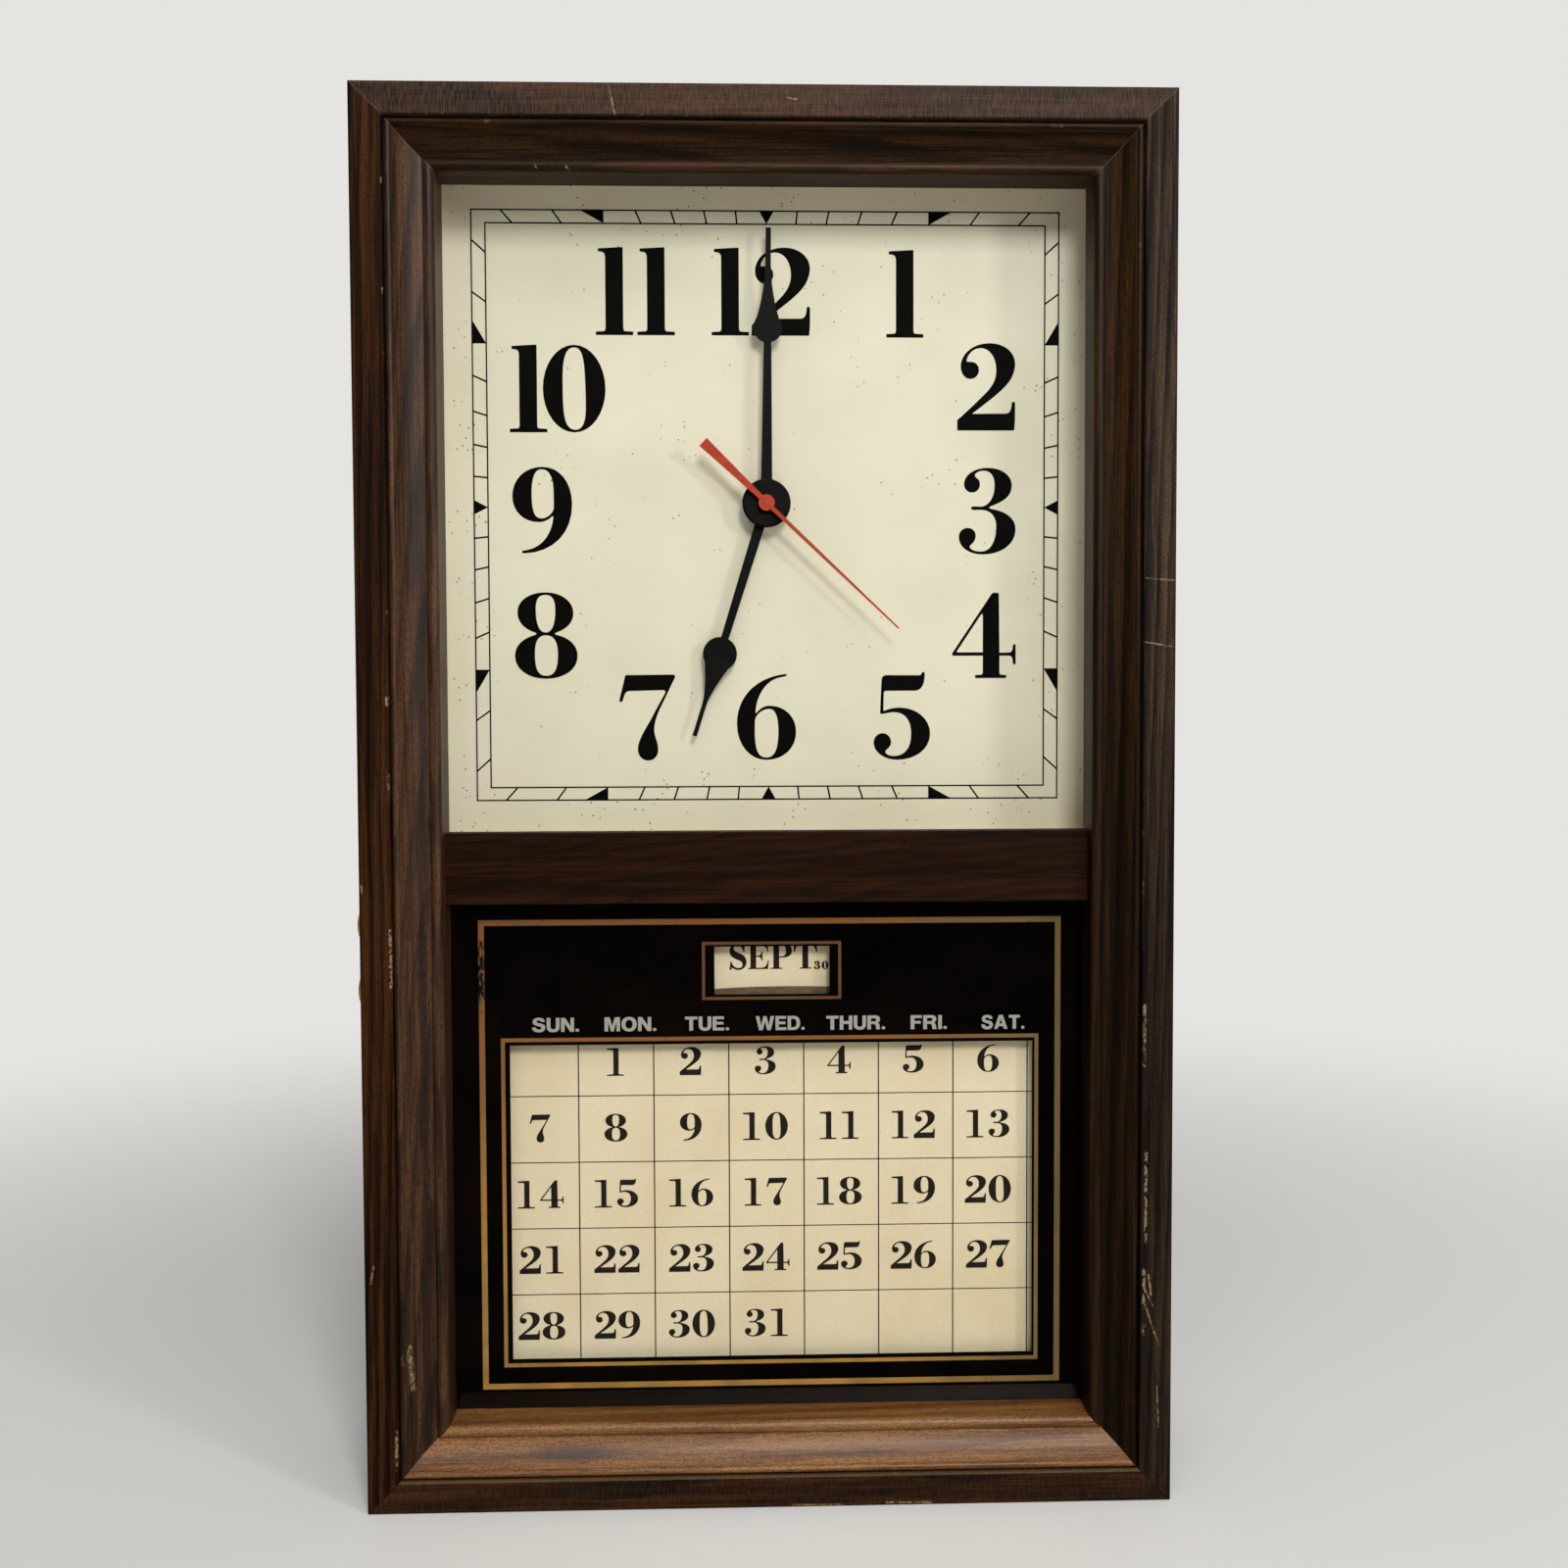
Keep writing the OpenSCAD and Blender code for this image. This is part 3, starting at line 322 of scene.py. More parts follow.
def wear_mask(tree, place, outer, stick, rub_and_sheen):
    """Rubbed arrises, scratches and rubbed stretches of one stick of the stained case, and a pale strip along the
    inner edge that is partly wear and partly a painted highlight.
    """
    patches = stretched_noise(tree, place, (7, 7, 11), 3.0, 0.65)
    grit = stretched_noise(tree, place, (0.9, 0.9, 1.4), 2.0)
    x, y, z = node(tree, "ShaderNodeSeparateXYZ", [place]).outputs
    # The outer arris, bare in patches on the very front
    front = node(tree, RANGE, [y, CASE_FRONT + 0.3 * MM, CASE_FRONT + 1.2 * MM, 1.0, 0.0], **SMOOTH)
    arris = node(tree, RANGE, [outer, -0.9 * MM, -0.3 * MM], **SMOOTH)
    bare = node(tree, RANGE, [patches, 0.70, 0.78], **SMOOTH)
    outside = overlap(tree, front, arris, bare)
    # The inner edge, chipped and rubbed a little further back
    deeper = node(tree, RANGE, [y, CASE_FRONT + 1.2 * MM, CASE_FRONT + 2.6 * MM, 1.0, 0.0], **SMOOTH)
    edge = node(tree, RANGE, [outer, -BOARD_INNER * MM, -(BOARD_INNER + 0.6) * MM], **SMOOTH)
    torn = node(tree, RANGE, [patches, 0.63, 0.72], **SMOOTH)
    fine = node(tree, RANGE, [grit, 0.4, 0.55], **SMOOTH)
    # A pale strip along the inner edge: partly wear, partly a painted highlight where that edge faces up into the
    # light
    rubbed = node(tree, RANGE, [grit, 0.2, 0.7, 0.35 * rub_and_sheen, 0.75 * rub_and_sheen], **SMOOTH)
    chips = node(tree, MATH, [overlap(tree, torn, fine), rubbed], operation="MAXIMUM")
    inside = overlap(tree, deeper, edge, chips)
    mask = node(tree, MATH, [outside, inside], operation="MAXIMUM")
    # Strokes break up: a scratch thins out, and a rubbed stretch has gaps
    skipping = node(tree, RANGE, [grit, 0.44, 0.56, 0.15, 1.0], **SMOOTH)
    gaps = node(tree, RANGE, [patches, 0.42, 0.52], **SMOOTH)
    specks = node(tree, RANGE, [grit, 0.42, 0.54], **SMOOTH)
    broken = overlap(tree, gaps, specks)
    strokes = [(start_x, start_z, end_x, end_z, wide, skipping)
               for start_x, start_z, end_x, end_z, wide in SCRATCHES]
    strokes += [(at_x, low_z, at_x, high_z, RUBBED_WIDE, broken) for at_x, low_z, high_z in RUBBED]
    reach = CASE_FRONT + (MOULDING_REACH if stick.startswith("moulding") else BOARD_REACH) * MM
    near = node(tree, RANGE, [y, reach, reach + 0.3 * MM, 1.0, 0.0], **SMOOTH)
    flat = node(tree, "ShaderNodeCombineXYZ", [x, CASE_FRONT, z])
    low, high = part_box(stick)
    for start_x, start_z, end_x, end_z, wide, texture in strokes:
        middle_x, middle_z = (start_x + end_x) / 2 * MM, (start_z + end_z) / 2 * MM
        if low[0] <= middle_x <= high[0] and low[2] <= middle_z <= high[2]:
            stroke = node(tree, "ShaderNodeGroup", {
                "Place": flat, "Start": (start_x * MM, CASE_FRONT, start_z * MM),
                "End": (end_x * MM, CASE_FRONT, end_z * MM), "Width": wide * MM}, node_tree=SCRATCH)
            mask = node(tree, MATH, [mask, overlap(tree, near, stroke, texture)], operation="MAXIMUM")
    return mask


print("wear reaches", BOARD_REACH, "mm back on boards and", MOULDING_REACH, "mm on mouldings")

# %% [markdown]
# The stained finish
#
# Each stick gets a material of its own, built up in the order that the real finish has:
# wood with fibres and rings, stain that sinks into the pores, marks of the saw made paler as
# a painted highlight, painted shade over the lower half of some sticks, glue in the mitres,
# and wear last, which along the bottom board's inner edge is partly a painted highlight.
# Mouldings that face away from the lamps get darker tones as painted shade, and the one that
# faces up into the light gets lighter tones as painted light. The varnish is satin: dull enough
# to hide lamps, with only a faint gleam, which is set for each stick.

# %% Marks that only some sticks have
def blotch(tree, place, spot):
    """An oval mask: the x and z of its middle and half its width and height, in millimetres."""
    middle_x, middle_z, half_wide, half_high = [length * MM for length in spot]
    away = node(tree, "ShaderNodeMapping", {"Vector": place, "Location": (-middle_x, 0.0, -middle_z)})
    away = node(tree, VECTOR_MATH, [away, (half_wide, 1.0, half_high)], operation="DIVIDE")
    away = node(tree, VECTOR_MATH, [away], operation="LENGTH")
    return node(tree, RANGE, [away, 0.3, 1.3, 0.6, 0.0], **SMOOTH)


def marks(tree, place, z, axis, ridge_highlight, spot, lower_shade):
    """Coats for a saw's ridges made paler as a painted highlight, a dark blotch, and painted shade over the lower
    half, where a stick has them.
    """
    coats = []
    if ridge_highlight:
        # A saw or planer left fine ridges across this board; the light that they catch is painted in as a paler
        # colour
        ridges = stretched_noise(tree, place, grain_sizes(5, 0.3, axis), 1.0)
        coats.append((node(tree, RANGE, [ridges, 0.40, 0.62, 0.0, ridge_highlight], **SMOOTH), "#a08b76"))
    if spot:
        coats.append((blotch(tree, place, spot), "#241d1a"))
    if lower_shade:
        # Painted shade: darker towards the bottom, where less light falls
        coats.append((node(tree, RANGE, [z, 0.20, 0.40, lower_shade, 0.0], **SMOOTH), "#0e0804"))
    return coats


def mitre_line(tree, stain, z, mitre):
    """A thin line at the mitres: dark glue, or the pale lip of a joint that has opened."""
    upper = node(tree, RANGE, [z, 0.3, 0.31], **SMOOTH)
    glue = node(tree, MIX, [upper, linear("#0b0603"), linear("#574d44")], **COLOURS)
    joint = node(tree, RANGE, [mitre, 0.10 * MM, 0.28 * MM, 0.75, 0.0], **SMOOTH)
    return node(tree, MIX, [joint, stain, glue], **COLOURS)


# What this calls soot is painted shade over the lower half
print("saw marks, a blotch, soot and glue can be added")


# %% Walnut
def walnut(stick, axis, tones, pith, lean, ring, waver=5.0, ridge_highlight=0.0, late=0.85, rub_and_sheen=0.0,
           gleam=0.05, spot=None, lower_shade=0.0):
    """Dark stained walnut under a satin varnish, for one stick with its own place in the tree.

    tones are the early wood's darker and lighter colour and the late wood's colour, and late
    is how strongly the last one shows. The number after waver is how bright the saw's ridges
    are painted, a painted highlight for the light that they catch, and the one after late is
    how pale the inner edge is painted, partly wear and partly a painted highlight. gleam is how
    much the varnish mirrors, and spot is a dark blotch. The last number is how much darker the
    lower half is painted: painted shade, where less light falls.
    """
    made, tree, place = start_material("walnut_" + stick)
    x, y, z = node(tree, "ShaderNodeSeparateXYZ", [place]).outputs
    fibres = stretched_noise(tree, place, grain_sizes(0.55, 28, axis), 3.0, 0.6)
    streaks = stretched_noise(tree, place, grain_sizes(5, 160, axis), 2.0, 0.5)
    fleck = stretched_noise(tree, place, grain_sizes(0.5, 1.1, axis), 1.0)
    pores = stretched_noise(tree, place, grain_sizes(0.4, 6, axis), 2.0)
    tone = node(tree, MATH, [streaks, 0.5], operation="MULTIPLY")
    tone = node(tree, MATH, [fibres, 0.5, tone], operation="MULTIPLY_ADD")
    light = node(tree, RANGE, [tone, 0.40, 0.60], **SMOOTH)
    stain = node(tree, MIX, [light, linear(tones[0]), linear(tones[1])], **COLOURS)
    rings = late_wood(tree, place, axis, pith, lean, ring, waver)
    uneven = node(tree, RANGE, [tone, 0.40, 0.60, 1.0, 0.65], **SMOOTH)
    coats = [
        (overlap(tree, rings, uneven, late), tones[2]),
        (node(tree, RANGE, [pores, 0.57, 0.70, 0.0, 0.6], **SMOOTH), "#0d0704"),
        (node(tree, RANGE, [fleck, 0.34, 0.62, 0.5, 0.0], **SMOOTH), "#0d0704"),
    ]
    stain = lay_coats(tree, stain, coats + marks(tree, place, z, axis, ridge_highlight, spot, lower_shade))
    outer, mitre = case_edges(tree, place)
    stain = mitre_line(tree, stain, z, mitre)
    # Wear shows pale wood, which along the bottom board's inner edge is partly a painted highlight, and the edges
    # against the wall were never stained
    worn = wear_mask(tree, place, outer, stick, rub_and_sheen)
    unstained = node(tree, RANGE, [y, -CASE_FRONT - 0.25 * MM, -CASE_FRONT - 0.05 * MM], **SMOOTH)
    stain = lay_coats(tree, stain, [(overlap(tree, worn, 0.85), "#97805f"), (unstained, "#8d6a45")])
    # The boards have been handled more, so they are duller than the moulding
    trim = stick.startswith("moulding")
    dull = 0.0 if trim else 0.07
    gloss = node(tree, RANGE, [fleck, 0.3, 0.7, 0.42 + dull, 0.50 + dull], **SMOOTH)
    gloss = node(tree, MATH, [gloss, overlap(tree, worn, 0.75)], operation="MAXIMUM")
    bump = node(tree, "ShaderNodeBump", {"Strength": 0.3, "Distance": 0.1 * MM, "Height": fibres})
    shader = node(tree, "ShaderNodeBsdfPrincipled", {
        "Base Color": stain, "Roughness": gloss, "Normal": bump, "Specular IOR Level": gleam,
        "Coat Weight": 0.05 if trim else 0.0, "Coat Roughness": 0.40})
    node(tree, "ShaderNodeOutputMaterial", {"Surface": shader})
    return made


print("walnut can be stained, worn and varnished")

# %% A material for each stick of walnut
# Early wood's darker and lighter colour and late wood's colour, for each kind of stick
BOARD = ("#251305", "#48290f", "#0d0804")
STRIPED = ("#2b2018", "#54412f", "#131416")
TRIM = ("#352112", "#5c3e26", "#1a1310")
# Darker tones for the top and right moulding, which face away from the lamps: painted shade
TRIM_PAINTED_SHADE = ("#231506", "#432a10", "#0f0a05")
# Lighter tones for the bottom moulding, which faces up into the light: painted light, with some real fading of the
# stain
TRIM_PAINTED_LIGHT = ("#754720", "#9c6c3a", "#4b2e15")
RAIL = ("#1e0e05", "#311a0b", "#0d0703")
# Where a stick has them, the saw's paler ridges and the bottom board's pale inner edge are painted highlights, and
# a darker lower half is painted shade
STICKS = {
    "case_top": dict(axis=ALONG_X, tones=BOARD, pith=(549.0, 90.0), lean=(0.01, 0.02), ring=7.0,
                     waver=6.0, ridge_highlight=0.09, late=0.8, gleam=0.12),
    "case_bottom": dict(axis=ALONG_X, tones=BOARD, pith=(30.0, 40.0), lean=(0.02, 0.03), ring=5.0,
                        waver=6.0, ridge_highlight=0.03, late=0.6, rub_and_sheen=0.45),
    "case_left": dict(axis=ALONG_Z, tones=BOARD, pith=(-260.0, -30.0), lean=(0.02, 0.01), ring=4.2,
                      waver=7.0),
    "case_right": dict(axis=ALONG_Z, tones=STRIPED, pith=(285.0, 10.0), lean=(0.03, 0.01), ring=4.2,
                       waver=3.0, late=0.95, lower_shade=0.55),
    "moulding_top": dict(axis=ALONG_X, tones=TRIM_PAINTED_SHADE, pith=(545.0, 40.0), lean=(0.02, 0.05), ring=5.0,
                         waver=7.0, late=0.6, gleam=0.12),
    "moulding_bottom": dict(axis=ALONG_X, tones=TRIM_PAINTED_LIGHT, pith=(40.0, 60.0), lean=(0.02, 0.05), ring=8.0,
                            waver=7.0, late=0.45, gleam=0.42, spot=(-79.0, 20.0, 18.0, 3.6)),
    "moulding_left": dict(axis=ALONG_Z, tones=TRIM, pith=(-136.0, -4.0), lean=(0.004, 0.10), ring=6.0,
                          waver=5.0, late=0.6, gleam=0.2),
    "moulding_right": dict(axis=ALONG_Z, tones=TRIM_PAINTED_SHADE, pith=(190.0, -60.0), lean=(0.03, 0.02), ring=6.0,
                           waver=6.0, gleam=0.12, lower_shade=0.35),
    "middle_rail": dict(axis=ALONG_X, tones=RAIL, pith=(170.0, 0.0), lean=(0.12, 0.04), ring=4.4,
                        waver=26.0, late=0.5),
}
WALNUT = {stick: walnut(stick, **cut) for stick, cut in STICKS.items()}
print(len(WALNUT), "sticks of walnut")


# %% Pine
def pine(name, axis):
    """Planed pine, unfinished: pale, with darker yearly rings."""
    made, tree, place = start_material(name)
    fibres = stretched_noise(tree, place, grain_sizes(0.8, 70, axis), 3.0, 0.6)
    shade = node(tree, "ShaderNodeValToRGB", [fibres])
    set_stops(shade, [(0.36, "#c39a66"), (0.64, "#dcbb8a")])
    rings = late_wood(tree, place, axis, (-60.0, 60.0), (0.02, 0.05), 3.6, 5.0)
    shade = lay_coats(tree, shade, [(overlap(tree, rings, 0.6), "#a4703a")])
    bump = node(tree, "ShaderNodeBump", {"Strength": 0.3, "Distance": 0.15 * MM, "Height": fibres})
    shader = node(tree, "ShaderNodeBsdfPrincipled", {
        "Base Color": shade, "Roughness": 0.72, "Normal": bump})
    node(tree, "ShaderNodeOutputMaterial", {"Surface": shader})
    return made


PINE_LEVEL = pine("pine_level_grain", ALONG_X)
PINE_UPRIGHT = pine("pine_upright_grain", ALONG_Z)
print("two ways of pine")

# %% [markdown]
# Glass and enamel
#
# Float glass bends light and mirrors a little of the room. A path tracer finds no lamps
# through bent glass, so the pane lets shadow rays straight through, and the dial behind it
# is lit as the real one is. The dial is sheet steel with a cream enamel, glossier than
# paper and flecked with dirt along its edges, where the pane never kept dust out.

# %% Glass
def clear_glass():
    """Float glass, 2.4 mm thick, that lets lamps through."""
    made, tree, _ = start_material("float_glass")
    glass = node(tree, "ShaderNodeBsdfPrincipled", {
        "Base Color": linear("#fefefc"), "Roughness": 0.0, "IOR": 1.5, "Transmission Weight": 1.0})
    clear = node(tree, "ShaderNodeBsdfTransparent", {"Color": linear("#fafaf8")})
    rays = node(tree, "ShaderNodeLightPath").outputs
    lit = node(tree, MATH, [rays["Is Diffuse Ray"], rays["Is Glossy Ray"]], operation="MAXIMUM")
    lit = node(tree, MATH, [rays["Is Shadow Ray"], lit], operation="MAXIMUM")
    mixed = node(tree, "ShaderNodeMixShader", [lit, glass, clear])
    node(tree, "ShaderNodeOutputMaterial", {"Surface": mixed})
    return made


def coat_enamel():
    """Black enamel screened on the back of the glass."""
    made, tree, place = start_material("black_screen_enamel")
    mottle = stretched_noise(tree, place, (30, 30, 30), 3.0)
    shade = node(tree, "ShaderNodeValToRGB", [mottle])
    set_stops(shade, [(0.35, "#040302"), (0.65, "#0c0705")])
    shader = node(tree, "ShaderNodeBsdfPrincipled", {
        "Base Color": shade, "Roughness": 0.6, "Specular IOR Level": 0.0})
    node(tree, "ShaderNodeOutputMaterial", {"Surface": shader})
    return made


FLOAT_GLASS = clear_glass()
SCREEN_ENAMEL = coat_enamel()
print("glass and its black coat ready")

# %% Dial enamel
SHAFT_Z = next(joint["pos_m"][2] for joint in frame["joints"] if joint["name"] == "minute_hand_spin")
# The dirt sits one fleck to a cell, and so many cells lie along a metre
FLECK_CELLS = 420.0


def dial_enamel():
    """Cream enamel on sheet steel, with fine dark flecks along the margins."""
    made, tree, place = start_material("cream_enamel")
    mottle = stretched_noise(tree, place, (60, 60, 60), 3.0)
    cream = node(tree, "ShaderNodeValToRGB", [mottle])
    set_stops(cream, [(0.35, "#e3dec7"), (0.65, "#ece7d1")])
    x, y, z = node(tree, "ShaderNodeSeparateXYZ", [place]).outputs
    side = node(tree, MATH, [x], operation="ABSOLUTE")
    rise = node(tree, MATH, [z, SHAFT_Z], operation="SUBTRACT")
    rise = node(tree, MATH, [rise], operation="ABSOLUTE")
    out = node(tree, MATH, [side, rise], operation="MAXIMUM")
    margin = node(tree, RANGE, [out, 98 * MM, 126 * MM, 0.35, 1.0], **SMOOTH)
    clumps = stretched_noise(tree, place, (16, 16, 16), 2.0)
    clumps = node(tree, RANGE, [clumps, 0.45, 0.62], **SMOOTH)
    cells = node(tree, "ShaderNodeTexVoronoi", {"Vector": place, "Scale": FLECK_CELLS}).outputs
    dots = node(tree, RANGE, [cells["Distance"], 0.09, 0.20, 1.0, 0.0], **SMOOTH)
    chance = node(tree, "ShaderNodeSeparateColor", [cells["Color"]])
    few = node(tree, RANGE, [overlap(tree, chance, margin, clumps), 0.18, 0.32], **SMOOTH)
    cream = lay_coats(tree, cream, [(overlap(tree, dots, few, 0.9), "#4d4639")])
    shader = node(tree, "ShaderNodeBsdfPrincipled", {
        "Base Color": cream, "Roughness": 0.38, "Coat Weight": 0.25, "Coat Roughness": 0.2})
    node(tree, "ShaderNodeOutputMaterial", {"Surface": shader})
    return made


DIAL_ENAMEL = dial_enamel()
print("dial enamel ready, its shaft", round(SHAFT_Z / MM), "mm up")

# %% [markdown]
# Paper, paint and plastics
#
# The calendar is printed on buff paper that has browned unevenly. The hands are sheet
# brass under satin paint. The movement's housing and gears are moulded plastics with a
# fine spark texture, and the back is brown hardboard. Each is a short tree: a colour that
# varies over a few millimetres, a roughness and a fine bump.

# %% A plain finish with a little variety
def speckled(name, dark, light, size, rough, bump_mm=0.0, bump_size=None, **more):
    """A finish whose colour drifts between two values over specks of a given size in mm."""
    made, tree, place = start_material(name)
    size = size if isinstance(size, tuple) else (size, size, size)
    drift = stretched_noise(tree, place, size, 3.0, 0.6)
    shade = node(tree, "ShaderNodeValToRGB", [drift])
    set_stops(shade, [(0.35, dark), (0.65, light)])
    gloss = node(tree, RANGE, [drift, 0.3, 0.7, rough - 0.05, rough + 0.05], **SMOOTH)
    values = {"Base Color": shade, "Roughness": gloss}
    if bump_mm:
        fine = stretched_noise(tree, place, bump_size or size, 2.0)
        values["Normal"] = node(tree, "ShaderNodeBump", {
            "Strength": 0.5, "Distance": bump_mm * MM, "Height": fine})
    for socket, value in more.items():
        values[socket.replace("_", " ")] = value
    shader = node(tree, "ShaderNodeBsdfPrincipled", values)
    node(tree, "ShaderNodeOutputMaterial", {"Surface": shader})
    return made


print("a plain finish takes one line")

# %% Paints, plastics and metals
# Wood fibres pressed flat: brown, with a hairy pattern and a dull sheen
HARDBOARD = speckled("pressed_hardboard", "#5d4229", "#7a5a3a", (1.6, 1.6, 3.2), 0.62, 0.1)
# ABS from a spark-eroded mould: black with a fine grain
BLACK_ABS = speckled("black_abs", "#121211", "#1c1c1b", 8.0, 0.52, 0.04, (0.7, 0.7, 0.7))
# Acetal: off-white, waxy, slightly see-through in the real thing
ACETAL = speckled("natural_acetal", "#ddd8c8", "#eae6d9", 12.0, 0.42, 0.02, (1.5, 1.5, 1.5))
# Satin black stoving paint on sheet brass
BLACK_PAINT = speckled("black_stoving_paint", "#060607", "#0c0c0e", 5.0, 0.5, 0.02, (0.6, 0.6, 0.6),
                       Specular_IOR_Level=0.12)
# Red paint that has dulled
RED_PAINT = speckled("dull_red_paint", "#a5351d", "#b83e24", 3.0, 0.5, Specular_IOR_Level=0.25)
# Turned brass, lightly dulled by air
BRASS = speckled("dulled_brass", "#a98443", "#c9a35e", 3.5, 0.30, 0.02, (0.4, 3.0, 3.0), Metallic=1.0)
# Steel under a thin brass plating
PLATED = speckled("brass_plated_steel", "#b08d4c", "#cdb074", 2.0, 0.34, Metallic=1.0)
# Zinc plating has a blue-grey bloom
ZINC = speckled("zinc_plated_steel", "#a9acae", "#c6c8c8", 2.5, 0.36, Metallic=1.0)
# Rolled aluminium with its mill finish, streaked along the roll
ALUMINIUM = speckled("mill_aluminium", "#b7b9bb", "#cfd0d1", (60.0, 0.6, 0.6), 0.38, Metallic=1.0)
# Solder resist over copper tracks
RESIST = speckled("green_solder_resist", "#1c5231", "#2c7143", (2.4, 1.0, 1.0), 0.3)
print("paints, plastics and metals ready")


# %% Calendar paper
def calendar_paper():
    """Buff printing paper, browned in soft patches, with a slight waviness."""
    made, tree, place = start_material("buff_paper")
    patches = stretched_noise(tree, place, (38, 38, 55), 3.0)
    buff = node(tree, "ShaderNodeValToRGB", [patches])
    set_stops(buff, [(0.34, "#e7d6b2"), (0.52, "#ecddbd"), (0.68, "#f0e2c5")])
    pulp = stretched_noise(tree, place, (0.9, 0.9, 0.9), 2.0)
    pulp = node(tree, RANGE, [pulp, 0.3, 0.7, 0.0, 0.12], **SMOOTH)
    buff = lay_coats(tree, buff, [(pulp, "#b79f76")])
    waves = stretched_noise(tree, place, (24, 24, 90), 1.0)
    bump = node(tree, "ShaderNodeBump", {"Strength": 0.7, "Distance": 0.9 * MM, "Height": waves})
    shader = node(tree, "ShaderNodeBsdfPrincipled", {
        "Base Color": buff, "Roughness": 0.82, "Normal": bump})
    node(tree, "ShaderNodeOutputMaterial", {"Surface": shader})
    return made


PAPER = calendar_paper()
print("paper ready")

# %% [markdown]
# The drive coil and the battery
#
# The coil is enamelled wire of a tenth of a millimetre, wound side by side. Wires that
# fine can't show at this size, so the bands are drawn 0.35 mm apart. The battery is a
# steel can in a printed sleeve, bare at both ends.

# %% Coil
WIRE_PITCH = 0.35 * MM
# A wave texture at scale 1 has so many bands for each of its units
WAVE_BANDS = 3.18


def coil_wire():
    """Enamelled copper wire: bands across the coil's length, one for each wire, darker between the wires as
    painted shade in the grooves.
    """
    made, tree, place = start_material("enamelled_copper_wire")
    bands = node(tree, "ShaderNodeTexWave", {
        "Vector": place, "Scale": 1 / WIRE_PITCH / WAVE_BANDS, "Distortion": 0.4},
        wave_type="BANDS", bands_direction="X").outputs["Fac"]
    shade = node(tree, "ShaderNodeValToRGB", [bands])
    # The dark end of each band is painted shade in the groove between two wires
    set_stops(shade, [(0.2, "#6a3010"), (0.8, "#c8753a")])
    bump = node(tree, "ShaderNodeBump", {"Strength": 0.8, "Distance": 0.1 * MM, "Height": bands})
    shader = node(tree, "ShaderNodeBsdfPrincipled", {
        "Base Color": shade, "Metallic": 0.7, "Roughness": 0.3, "Normal": bump})
    node(tree, "ShaderNodeOutputMaterial", {"Surface": shader})
    return made


COIL_WIRE = coil_wire()
print("wires", WIRE_PITCH / MM, "mm apart")


# %% Battery
def battery_sleeve():
    """A printed sleeve in two colours, with bare steel at the cell's ends."""
    made, tree, place = start_material("printed_battery_sleeve")
    low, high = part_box("battery_cell")
    x, y, z = node(tree, "ShaderNodeSeparateXYZ", [place]).outputs
    body = node(tree, RANGE, [x, low[0] + 14.0 * MM, low[0] + 14.4 * MM], **SMOOTH)
    foot = node(tree, RANGE, [x, low[0] + 0.5 * MM, low[0] + 0.8 * MM, 1.0, 0.0], **SMOOTH)
    head = node(tree, RANGE, [x, high[0] - 2.2 * MM, high[0] - 1.9 * MM], **SMOOTH)
    ends = node(tree, MATH, [foot, head], operation="MAXIMUM")
    colour = lay_coats(tree, linear("#b79a52"), [(body, "#3b3f38"), (ends, "#b9bbbb")])
    shader = node(tree, "ShaderNodeBsdfPrincipled", {
        "Base Color": colour, "Metallic": ends, "Roughness": 0.35})
    node(tree, "ShaderNodeOutputMaterial", {"Surface": shader})
    return made


BATTERY = battery_sleeve()
print("battery ready")

# %% [markdown]
# Finishes onto the solids
#
# Every solid carries the name of a finish. A table says which material that is. Each stick
# of walnut has its own, and the pine is told which way its grain runs, because a carpenter
# cuts each stick along the tree.

# %% Give each solid its finish
FINISHES = {
    "window_glass": FLOAT_GLASS, "black_coat": SCREEN_ENAMEL, "hardboard": HARDBOARD,
    "cream_enamel": DIAL_ENAMEL, "black_plastic": BLACK_ABS, "brass": BRASS,
    "brassed_screws": PLATED, "zinc_steel": ZINC, "battery_sleeve": BATTERY,
    "circuit_laminate": RESIST, "copper_wire": COIL_WIRE, "white_plastic": ACETAL,
    "black_hands": BLACK_PAINT, "red_hand": RED_PAINT, "aluminium_sheet": ALUMINIUM,
    "calendar_paper": PAPER,
}
# The sticks of pine that lie level
LEVEL = {"hanging_rail", "cross_cleat", "bottom_cleat"}
for part in frame["record"]["subparts"]:
    name, slot = part["node"], part["material_slot"]
    if slot == "walnut":
        finish = WALNUT[name]
    elif slot == "softwood":
        finish = PINE_LEVEL if name in LEVEL else PINE_UPRIGHT
    else:
        finish = FINISHES[slot]
    mesh = frame["nodes"][name].data
    mesh.materials.clear()
    mesh.materials.append(finish)

# %% [markdown]
# Printed shapes
#
# Numerals, lines and day names are ink, a few hundredths of a millimetre high. They are
# made as real thin shapes instead of pictures, so their edges stay sharp at any distance.
# Each letter is an outline of straight lines and curves with handles, 100 units high and
# drawn for this clock. A flat curve fills them, holes and all, and is then made a mesh.

# %% Read an outline
def read_outline(path):
    """Closed loops of [point, handle before, handle after] from M, L, C and Z commands."""
    loops = []
    for part in path.split("Z"):
        points, numbers, step = [], [], ""
        for word in part.split():
            if word in "MLC":
                step = word
                continue
            numbers.append(float(word))
            if len(numbers) < (6 if step == "C" else 2):
                continue
            pairs = [Vector(numbers[i:i + 2]) for i in range(0, len(numbers), 2)]
            numbers = []
            if step == "C":
                points[-1][2] = pairs[0]
                points.append([pairs[2], pairs[1], None])
            else:
                points.append([pairs[0], None, None])
        if len(points) > 2 and (points[0][0] - points[-1][0]).length < 0.05:
            points[0][1] = points.pop()[1]
        if points:
            loops.append(points)
    return loops


print("a square has", len(read_outline("M 0 0 L 100 0 L 100 100 L 0 100 Z")[0]), "points")

# %% Draw an outline
INK_T = 0.05 * MM


